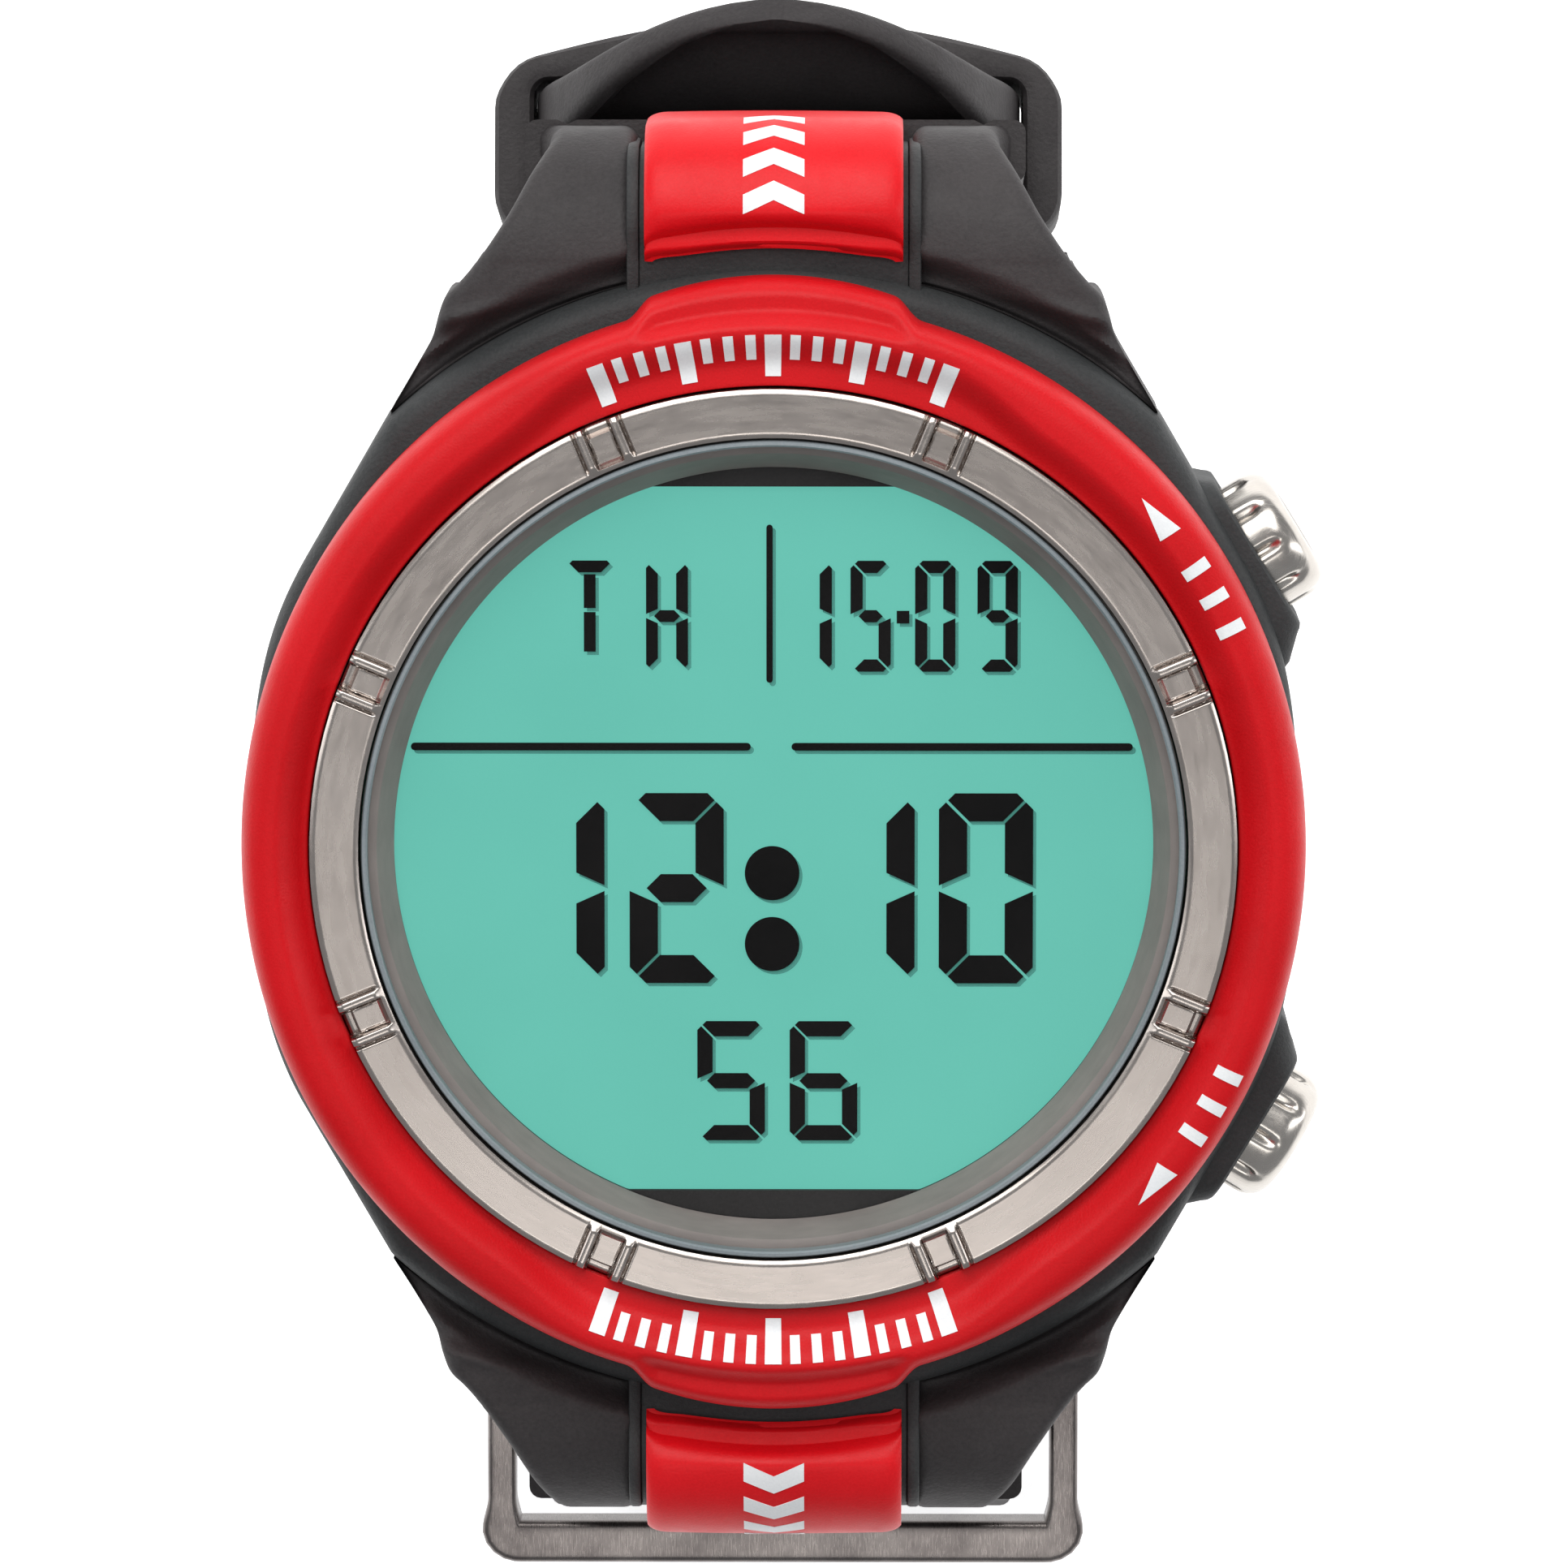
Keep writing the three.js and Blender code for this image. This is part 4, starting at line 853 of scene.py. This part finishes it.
# Cross-section loops of a strap band: edge grooves outside, a recessed field inside.
def bandGrid(path, half, thick, outwardSign, recess, lip=1.2, corner=0.55):
    _, normal = pathNormals(path)
    normal = normal * outwardSign
    count = len(path)
    thick = np.broadcast_to(thick, count)[:, None]
    path = path + normal * (thick.max() - thick) / 2
    half = np.broadcast_to(half, count)[:, None]
    share = np.linspace(-1, 1, 49)[None, :]
    cornerRadius = np.minimum(corner, half * 0.5)
    quarter = np.linspace(0, 90, 5)[None, :] * deg
    x1 = share * (half - cornerRadius)
    grooveAt = half - 1.9
    groove = 0.22 * np.exp(-((np.abs(x1) - grooveAt) / 0.22) ** 2) * (half > 6)
    h1 = thick / 2 - groove
    x2 = half - cornerRadius + cornerRadius * np.sin(quarter[:, 1:])
    h2 = thick / 2 - cornerRadius + cornerRadius * np.cos(quarter[:, 1:])
    x3 = half - cornerRadius + cornerRadius * np.cos(quarter)
    h3 = -thick / 2 + cornerRadius - cornerRadius * np.sin(quarter)
    x4 = -x1[:, 1:-1]
    field = np.broadcast_to(recess, count)[:, None] * ease(0, 0.35, half - lip - np.abs(x4))
    h4 = -thick / 2 + field
    x = np.concatenate([x1, x2, x3, x4, -x3[:, ::-1], -x2[:, ::-1]], 1)
    h = np.concatenate([h1, h2, h3, h4, h3[:, ::-1], h2[:, ::-1]], 1)
    y = path[:, 0:1] + normal[:, 0:1] * h
    z = path[:, 1:2] + normal[:, 1:2] * h
    return np.stack([x, y, z], -1)


wing = dict(inner=6.08, arc=25.44, reach=31.2, top=9.35, crownRadius=5.6, waist=10.0, creaseAt=24.9,
            creaseFrom=6.9, creaseSlope=0.235, foldDepth=0.55, bevelDepth=1.25, lipHeight=0.22,
            edge=[(17.0, 18.95), (16.2, 20.3), (15.05, 22.3), (14.85, 23.2), (14.55, 24.15), (13.9, 24.75),
                  (13.0, 25.8),
                  (12.3, 26.95), (11.7, 28.0), (11.25, 28.9), (10.85, 29.7), (10.35, 30.5), (10.0, 31.0)])


# One wing of the strap's moulded end: loops from its pointed horn beside the case, over the crown
# and down to the band, between an inner edge (case arc, then straight) and an outer edge.
def makeWing(sideX, sideY):
    horn = np.array([(18.95, 9.25), (24.5, 9.2), (25.6, 9.12)])
    reach, bend = wing["reach"], wing["crownRadius"]
    turn = arcPoints(reach - bend, wing["top"] - 0.2 - bend, bend, 88, 0, 30)
    crown, _ = evenly(np.concatenate([horn, turn, [(reach - 0.02, 1.0), (reach - 0.25, -1.6)]]), 130)
    _, normal = pathNormals(crown)
    normal = np.abs(normal)
    y, z = crown[:, 0:1], crown[:, 1:2]
    edge = softened(evenly(wing["edge"], 60)[0], 3)
    outer = np.interp(crown[:, 0], edge[:, 1], edge[:, 0])[:, None]
    outer = np.where(z < 3.6, wing["waist"] + (strap["half"] - wing["waist"]) * ease(3.4, -0.6, z), outer)
    inner = np.where(y < math.sqrt(wing["arc"] ** 2 - wing["inner"] ** 2),
                     np.sqrt(np.clip(wing["arc"] ** 2 - y ** 2, 0, None)), wing["inner"])
    inner = np.minimum(inner, outer - 0.05)
    thick = 6.6 - 3.9 * ease(24.5, 31.2, y) + 0 * z
    width = outer - inner
    loop = roundedBox(1, 1, 0.5, 9, 12)
    corner = np.minimum(0.75, width * 0.45)
    sx, sh = loop[:, 0][None, :], loop[:, 1][None, :]
    # a unit rounded box, stretched so that its corners keep their own radius
    bx = np.sign(sx) * np.where(np.abs(sx) > 0.5, width / 2 - corner + (np.abs(sx) - 0.5) * 2 * corner,
                                np.abs(sx) * 2 * (width / 2 - corner))
    bh = np.sign(sh) * np.where(np.abs(sh) > 0.5, thick / 2 - corner + (np.abs(sh) - 0.5) * 2 * corner,
                                np.abs(sh) * 2 * (thick / 2 - corner))
    x = (inner + outer) / 2 + bx
    depth = thick / 2 - bh
    py = y - normal[:, 0:1] * depth
    pz = z - normal[:, 1:2] * depth
    # folded facets: the surface drops towards the case ring, and a crease runs in from the bump
    reachOut = np.sqrt(x ** 2 + py ** 2)
    onTop = ease(0.2, 0.9, sh + 0 * x)
    bevel = wing["bevelDepth"] * ease(27.0, 25.75, reachOut) * onTop * ease(28.0, 26.0, py)
    beyondCrease = py - (wing["creaseAt"] - wing["creaseSlope"] * (x - wing["creaseFrom"]))
    fold = wing["foldDepth"] * ease(0.15, -0.9, beyondCrease) * onTop
    lip = wing["lipHeight"] * np.exp(-(beyondCrease / 0.35) ** 2) * onTop * ease(wing["creaseFrom"], 10, x)
    pz = pz - np.maximum(bevel, fold) + lip
    grid = np.stack([sideX * x, sideY * py, pz], -1)
    return gridObject("wing", grid)


# Strap halves: a band section carried along each middle line, the tail narrowing to its tip as an
# ellipse, and two wings at each lug.
def makeStrapHalves():
    upper = upperLine()
    recess = 0.35 * ease(24, 34, np.arange(len(upper)))
    band = gridObject("upperBand", bandGrid(upper, strap["half"], strap["upper"], 1, recess, 1.6))
    upperItems = [band, makeWing(1, 1), makeWing(-1, 1)]
    tail, at = tailLine()
    toTip = at[-1] - at
    share = np.clip(1 - toTip / strap["tipLength"], 0, 0.9995)
    half = strap["half"] * np.sqrt(1 - share ** 2)
    tailRecess = 0.6 * ease(26.5, 22, toTip) * ease(0.7, 1.6, toTip)
    thick = strap["tail"] - 1.2 * ease(8.0, 0.5, toTip)
    band = gridObject("tailBand", bandGrid(tail, half, thick, -1, tailRecess, 1.05))
    lowerItems = [band, makeWing(1, -1), makeWing(-1, -1)]
    return upperItems, lowerItems


# Cuts a hole through an object with another solid, then removes the cutter.
def cutWith(item, cutter):
    step = item.modifiers.new("cut", "BOOLEAN")
    step.operation = "DIFFERENCE"
    step.solver = "EXACT"
    step.object = cutter
    bpy.context.view_layer.update()
    cut = bpy.data.meshes.new_from_object(item.evaluated_get(bpy.context.evaluated_depsgraph_get()))
    item.modifiers.clear()
    item.data = cut
    bpy.data.objects.remove(cutter)
    item.data.shade_smooth()
    item.data.set_sharp_from_angle(angle=35 * deg)


holes = dict(count=5, pitch=6.5, first=11.0, radius=1.3, slotHalf=1.3)


# Holes, slots and the pin's eye in the strap; the holes stand in an even row from the buckle.
def makeStraps():
    upperItems, lowerItems = makeStrapHalves()
    y0 = strap["heelY"]
    for k in range(holes["count"]):
        cutter = turned("holeCutter", [(0, -47), (holes["radius"], -47), (holes["radius"], -41.9),
                                       (0, -41.9)], 32,
                        (0, y0 + holes["first"] + holes["pitch"] * k))
        cutWith(lowerItems[0], cutter)
    slotBox = np.array([(y0 - 14, -43.8), (y0 - 1.2, -43.8), (y0 - 1.2, -38.4), (y0 - 14, -38.4)])
    cutWith(lowerItems[0], slab("slotCutter", slotBox, -holes["slotHalf"], holes["slotHalf"], 0.01))
    notch = np.array([(y0 - 6, -44), (y0 + 2.6, -44), (y0 + 2.6, -36), (y0 - 6, -36)])
    rows = [(-10.8, 1.65 - 0.3), (-10.6, 1.65), (10.6, 1.65), (10.8, 1.65 - 0.3)]
    eye = roundBar("pinEye", rows, (y0, strap["bottom"]), 40)
    cutWith(eye, slab("notchCutter", notch, -1.6, 1.6, 0.01))
    cutWith(upperItems[0], slab("notchCutter", notch, -1.6, 1.6, 0.01))
    upper = joined("upperStrapSkin", upperItems + [eye])
    lower = joined("lowerStrapSkin", lowerItems)
    dress(upper, strapRubber, "watch", "upper_strap")
    dress(lower, strapRubber, "watch", "lower_strap")


makeStraps()
print("strap made")


keeper = dict(length=7.0, height=-17.0, clear=0.12, wall=1.8, skin=0.6, arch=2.3)


# Keeper loop: a rounded wall section carried round a soft box, arched outside.
def makeKeeper():
    run = (strap["startZ"] - keeper["height"]) / math.cos(lean)
    middleY, middleZ = strap["startY"] - run * math.sin(lean), keeper["height"]
    low = -strap["upper"] / 2 - 0.3
    high = layer + strap["tail"] / 2 + 0.3
    half = strap["half"] + keeper["clear"]
    inside = roundedBox(half, (high - low) / 2, 0.7, 8, 24) + np.array([0, (high + low) / 2])
    outside = roundedBox(half + keeper["wall"], (high - low) / 2 + keeper["skin"], 1.9, 8, 24)
    outside += np.array([0, (high + low) / 2])
    arch = keeper["arch"] * np.cos(np.clip(outside[:, 0] / (half + keeper["wall"]), -1, 1) * np.pi / 2)
    outside[:, 1] += arch * ease(high - 0.6, high + 0.4, outside[:, 1])
    along = keeper["length"] / 2
    rows = [(-along + 0.35, 0.0), (-along + 0.08, 0.12), (-along, 0.35)]
    rims = [(1, rows, outside, inside), (1, rows[::-1], inside, outside),
            (-1, rows, inside, outside), (-1, rows[::-1], outside, inside)]
    loops = [(way * z, near + (far - near) * share * 0.9)
             for way, steps, near, far in rims for z, share in steps]
    grid = np.stack([np.column_stack([p, np.full(len(p), z)]) for z, p in loops])
    x, y, z = grid[..., 0], grid[..., 1], grid[..., 2]
    placed = np.stack([x, middleY + y * math.cos(lean) + z * math.sin(lean),
                       middleZ - y * math.sin(lean) + z * math.cos(lean)], -1)
    return dress(gridObject("keeperLoop", placed, closedRows=True), strapRubber, "keeper", "strap_keeper")


frameSizes = dict(half=14.6, end=-42.8, bar=1.4, endBar=2.1, depth=2.4, corner=1.5, heel=1.25)


# Buckle frame: rounded section carried along a U, wider at its end bar, with round eyes at the heel.
def makeFrame():
    heelY, z0 = strap["heelY"], strap["bottom"]
    half, bar = frameSizes["half"] - frameSizes["bar"] / 2, frameSizes["bar"]
    endY = frameSizes["end"] + frameSizes["endBar"] / 2
    corner = frameSizes["corner"] - bar / 2
    line = np.concatenate([
        [(half, heelY + frameSizes["heel"])],
        [(half, heelY - 2)],
        arcPoints(half - corner, endY + corner, corner, 0, -90, 12),
        arcPoints(-half + corner, endY + corner, corner, -90, -180, 12),
        [(-half, heelY - 2)],
        [(-half, heelY + frameSizes["heel"])]])
    line, _ = evenly(line, 220)
    along = np.gradient(line, axis=0)
    along /= np.linalg.norm(along, axis=1, keepdims=True)
    side = np.stack([-along[:, 1], along[:, 0]], -1)
    isEnd = ease(endY + 2.2, endY + 0.3, line[:, 1])[:, None]
    width = (bar + (frameSizes["endBar"] - bar) * isEnd) / 2
    height = frameSizes["depth"] / 2 + 0 * width
    section = roundedBox(1, 1, 0.32, 7, 4)
    tips = ease(-0.02, 1.0, np.minimum(np.arange(220), 219 - np.arange(220)) * 0.6)[:, None]
    scale = 0.75 + 0.25 * tips
    across = section[:, 0][None, :] * width * scale
    rise = section[:, 1][None, :] * height * scale
    x = line[:, 0:1] + side[:, 0:1] * across
    y = line[:, 1:2] + side[:, 1:2] * across
    frameItem = gridObject("frameBar", np.stack([x, y, z0 + rise], -1))
    ends = [(14.75, 0.3), (14.66, 0.8), (14.4, 0.95), (13.0, 0.95)]
    pins = [roundBar("pinHead", [(sign * x, r) for x, r in ends], (heelY, z0), 36) for sign in (1, -1)]
    return dress(joined("buckleFrameSkin", [frameItem] + pins), buckleSteel, "frame", "buckle_frame")


# Buckle pin: one radius along X.
def makePin():
    heelY, z0 = strap["heelY"], strap["bottom"]
    rows = [(-14.0, 0.78), (-1.5, 0.78), (1.5, 0.78), (14.0, 0.78)]
    return dress(roundBar("bucklePinSkin", rows, (heelY, z0), 40), buckleSteel, "frame", "buckle_pin")


prong = dict(half=1.1, thick=1.3)


# Prong: a tongue that tapers to a rounded tip over the end bar, with an eye round the pin.
def makeProng():
    heelY, z0 = strap["heelY"], strap["bottom"]
    rest = z0 - frameSizes["depth"] / 2 - prong["thick"] / 2 - 0.15
    line = softened(evenly([(heelY - 0.9, z0 - 0.6), (heelY - 4, z0 - 1.0), (-39.7, rest), (-43.0, rest)],
                           70)[0], 12)
    _, normal = pathNormals(line)
    share = np.linspace(0, 1, 70)
    end = np.sqrt(np.clip(1 - np.clip((share - 0.9) / 0.1, 0, 0.985) ** 2, 0, 1))
    width = (prong["half"] - 0.25 * share) * end
    thick = prong["thick"] / 2 * (1 - 0.12 * share) * (0.4 + 0.6 * end)
    section = roundedBox(1, 1, 0.5, 7, 3)
    across = section[:, 0][None, :] * width[:, None]
    rise = section[:, 1][None, :] * thick[:, None]
    grid = np.stack([across, line[:, 0:1] + normal[:, 0:1] * rise, line[:, 1:2] + normal[:, 1:2] * rise], -1)
    tongue = gridObject("tongue", grid)
    rows = [(-1.1, 0.86), (-1.1, 1.5), (-0.95, 1.68), (0.95, 1.68), (1.1, 1.5), (1.1, 0.86)]
    eye = roundBar("prongEye", rows, (heelY, z0), 48, closedRows=True)
    return dress(joined("prongSkin", [tongue, eye]), buckleSteel, "prong", "buckle_prong")


makeKeeper()
makeFrame()
makePin()
makeProng()
print("keeper and buckle made")


back = dict(radius=19.6, thickness=1.8, hatch=13.3, screwCircle=17.8, screws=4)


# Back plate and battery hatch: profiles turned round Z, with round wells cut into their outer face.
def makeBack():
    plate = turned("backPlate", [(back["hatch"] + 0.3, 0.12), (back["hatch"] + 0.42, 0.0), (19.05, 0.0),
                                 (19.35, 0.08),
                                 (back["radius"], 0.45), (back["radius"], back["thickness"]),
                                 (back["hatch"] + 0.3, back["thickness"])], 360)
    for k in range(back["screws"]):
        a = (45 + 360 * k / back["screws"]) * deg
        centre = (back["screwCircle"] * math.cos(a), back["screwCircle"] * math.sin(a))
        cutWith(plate, turned("screwWell", [(0, -1), (1.4, -1), (1.4, 0.9), (0, 0.9)], 40, centre))
    cutWith(plate, turned("portCutter", [(0, -1), (1.1, -1), (1.1, 3), (0, 3)], 32, (-18.0, 0)))
    dress(plate, backSteel, "watch", "case_back")
    rim = back["hatch"]
    hatch = turned("hatchDisc", [(0, 0.0), (10.9, 0.0), (11.0, 0.1), (11.25, 0.1), (11.35, 0.0),
                                 (rim - 0.3, 0.0),
                                 (rim - 0.08, 0.08), (rim, 0.3), (rim, 1.7), (rim - 0.2, 2.3), (0, 2.3)], 360)
    for x in (-9, 9):
        cutWith(hatch, turned("keyCutter", [(0, -1), (1.1, -1), (1.1, 0.9), (0, 0.9)], 32, (x, 0)))
    dress(hatch, backSteel, "hatch", "battery_hatch")


makeBack()
print("back made")


# Height of the bezel's skin under a printed mark, from the same formula as the bezel.
def bezelHeight(x, y):
    radius, angle = np.hypot(x, y), np.arctan2(y, x)
    crest, outer = bezelCrest(angle), bezelOuter(angle)
    share = np.clip((radius - crest) / (outer - crest), 0, 1)
    return np.where(radius < crest, bezelDish(radius, angle), bezelFall(share, angle))


# A filled quad patch between two polylines, laid on the bezel; thin, closed and a hair proud.
def patchOnBezel(left, right, count, proud=0.035):
    left, right = evenly(left, count)[0], evenly(right, count)[0]
    share = np.linspace(0, 1, 8)[None, :, None]
    flat = left[:, None, :] * (1 - share) + right[:, None, :] * share
    x, y = flat[..., 0], flat[..., 1]
    z = bezelHeight(x, y)
    top = np.stack([x, y, z + proud], -1)
    under = np.stack([x, y, z - 0.15], -1)
    return gridObject("mark", np.concatenate([top, under[:, ::-1]], 1))


# Point at a radius and an angle from twelve o'clock, clockwise in degrees.
def polar(radius, clockwise):
    a = (90 - clockwise) * deg
    return (radius * math.cos(a), radius * math.sin(a))


marks = dict(inner=20.95, outer=22.85, barHalf=0.36)


# Printed bar that points at the centre.
def radialBar(clockwise, inner, outer, half):
    spread = half / 22 / deg
    left, right = ([polar(inner, clockwise + side), polar(outer, clockwise + side)] for side in (-spread,
                                                                                                 spread))
    return patchOnBezel(left, right, 8)


# Scales at twelve and six, and an arrow with three bars beside each button.
def makeBezelMarks():
    items = []
    low, high = marks["inner"], marks["outer"]
    for middle in (0, 180):
        # graduated scale: long bars every fourth place, short bars between, all round the middle
        for k in range(-8, 9):
            long = k % 4 == 0
            inner = low if long else low + 0.75
            items.append(radialBar(middle + k * 2.5, inner, high, marks["barHalf"] if long else 0.22))
    for clockwise, way in ((51.0, 1), (129.0, -1)):
        tip = polar(22.5, clockwise - 5.2 * way)
        base = [polar(21.85, clockwise - 0.1 * way), polar(22.9, clockwise + 0.2 * way)]
        items.append(patchOnBezel([tip, base[0]], [tip, base[1]], 10))
        # three bars beside each arrow stand for the button's function
        for k in range(3):
            items.append(radialBar(clockwise + way * (4.9 + 3.9 * k), 21.75, 23.0, 0.26))
    return dress(joined("bezelMarks", items), whiteInk, "watch")


# Chevrons along the inlay, laid on its crown.
def makeInlayMarks(sign, name):
    items = []
    for k in range(4):
        begin = 0.115 + 0.145 * k
        across = np.linspace(-1.35, 1.35, 15)
        depth = 0.075 - 0.055 * np.abs(across) / 1.35
        lowEdge = begin + depth - 0.03
        s = np.stack([lowEdge, lowEdge + 0.025, lowEdge + 0.05, lowEdge + 0.075], 1)
        a = np.repeat(across[:, None], 4, 1)
        top, ny, nz = insertSurface(a, s)
        under = top.copy()
        top[..., 1] += ny * 0.03
        top[..., 2] += nz * 0.03
        under[..., 1] -= ny * 0.12
        under[..., 2] -= nz * 0.12
        grid = np.concatenate([top, under[:, ::-1]], 1)
        grid[..., 1] *= sign
        items.append(gridObject("mark", grid))
    return dress(joined(name, items), whiteInk, "watch")


makeBezelMarks()
makeInlayMarks(1, "upperInlayMarks")
makeInlayMarks(-1, "lowerInlayMarks")
print("marks made")


finishes = {
    "backlight_panel": whiteInk, "circuit_board": boardGreen,
    "processor_chip": maskInk, "memory_chip": maskInk,
    "piezo_buzzer": backSteel, "battery_tray": maskInk, "battery": backSteel, "battery_contact": backSteel,
    "case_back_gasket": sealRubber, "hatch_gasket": sealRubber, "pressure_sensor": backSteel,
    "upper_spring_bar": buttonSteel, "lower_spring_bar": buttonSteel,
}
for number in range(1, 5):
    finishes[f"case_back_screw_{number}"] = backSteel
for end in ("upper", "lower"):
    for piece, finish in (("stem", buttonSteel), ("clip", buttonSteel), ("seal", sealRubber),
                          ("spring", buttonSteel),
                          ("switch", maskInk)):
        finishes[f"{end}_button_{piece}"] = finish
for node, finish in finishes.items():
    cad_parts[node].data.materials.clear()
    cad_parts[node].data.materials.append(finish)


studio = dict(distance=450.0, tilt=7.5, yaw=0.45, aimX=0.48, aimY=3.03, aimZ=13.3, frameWidth=68.9,
              floor=-44.65, sheet=900.0)


# Pale floor under the piece.
def makeStage():
    half, height = studio["sheet"], studio["floor"] - 0.05
    points = np.array([[(-half, -half, height), (half, -half, height)],
                       [(-half, half, height), (half, half, height)]])
    floor = gridObject("studioFloor", points, closedColumns=False, caps=False)
    paper, _, shader = newMaterial("studioPaper", (0.95, 0.95, 0.95), 0.9, Emission_Strength=0.7)
    shader.inputs["Emission Color"].default_value = (1, 1, 1, 1)
    floor.data.materials.append(paper)
    if floor.data.polygons[0].normal.z < 0:
        floor.data.flip_normals()


# Soft rectangular light at a place, turned to its aim.
def areaLight(name, place, aim, size, power, colour=(1, 1, 1)):
    data = bpy.data.lights.new(name, "AREA")
    data.shape = "RECTANGLE"
    data.size, data.size_y = size[0] * mm, size[1] * mm
    data.energy = power
    data.color = colour
    item = bpy.data.objects.new(name, data)
    bpy.context.collection.objects.link(item)
    item.location = Vector(place) * mm
    item.rotation_euler = (Vector(aim) * mm - item.location).to_track_quat("-Z", "Y").to_euler()


# Even air light, a large key from above, two side strips and a low front panel.
def makeLights():
    world = bpy.data.worlds.new("studioAir")
    world.use_nodes = True
    world.node_tree.nodes["Background"].inputs["Color"].default_value = (0.95, 0.97, 1.0, 1)
    world.node_tree.nodes["Background"].inputs["Strength"].default_value = 0.35
    bpy.context.scene.world = world
    areaLight("keySoftbox", (-40, 420, 420), (0, 0, 0), (600, 400), 3.3, (1.0, 0.99, 0.97))
    areaLight("sideStrip", (380, 40, 160), (0, 0, 0), (90, 300), 0.35)
    areaLight("leftStrip", (-380, 60, 200), (0, 0, 0), (90, 300), 0.25)
    areaLight("lowPanel", (0, -195, 600), (0, -20, 13), (260, 130), 0.35, (1.0, 0.98, 0.95))


# Camera at a set distance, tilted back and turned a little, framing a set width.
def makeCamera():
    data = bpy.data.cameras.new("viewCamera")
    data.sensor_width = 36
    data.lens = 36 * studio["distance"] / studio["frameWidth"]
    data.clip_start, data.clip_end = 0.01, 10
    camera = bpy.data.objects.new("viewCamera", data)
    bpy.context.collection.objects.link(camera)
    tilt, yaw = studio["tilt"] * deg, studio["yaw"] * deg
    aim = Vector((studio["aimX"], studio["aimY"], studio["aimZ"])) * mm
    away = Vector((math.sin(yaw), math.sin(tilt) * math.cos(yaw), math.cos(tilt) * math.cos(yaw)))
    right = Vector((0, 1, 0)).cross(away).normalized()
    turn = Matrix((right, away.cross(right), away)).transposed()
    camera.matrix_world = Matrix.Translation(aim + away * studio["distance"] * mm) @ turn.to_4x4()
    bpy.context.scene.camera = camera


makeStage()
makeLights()
makeCamera()
bpy.context.scene.view_settings.view_transform = "Standard"

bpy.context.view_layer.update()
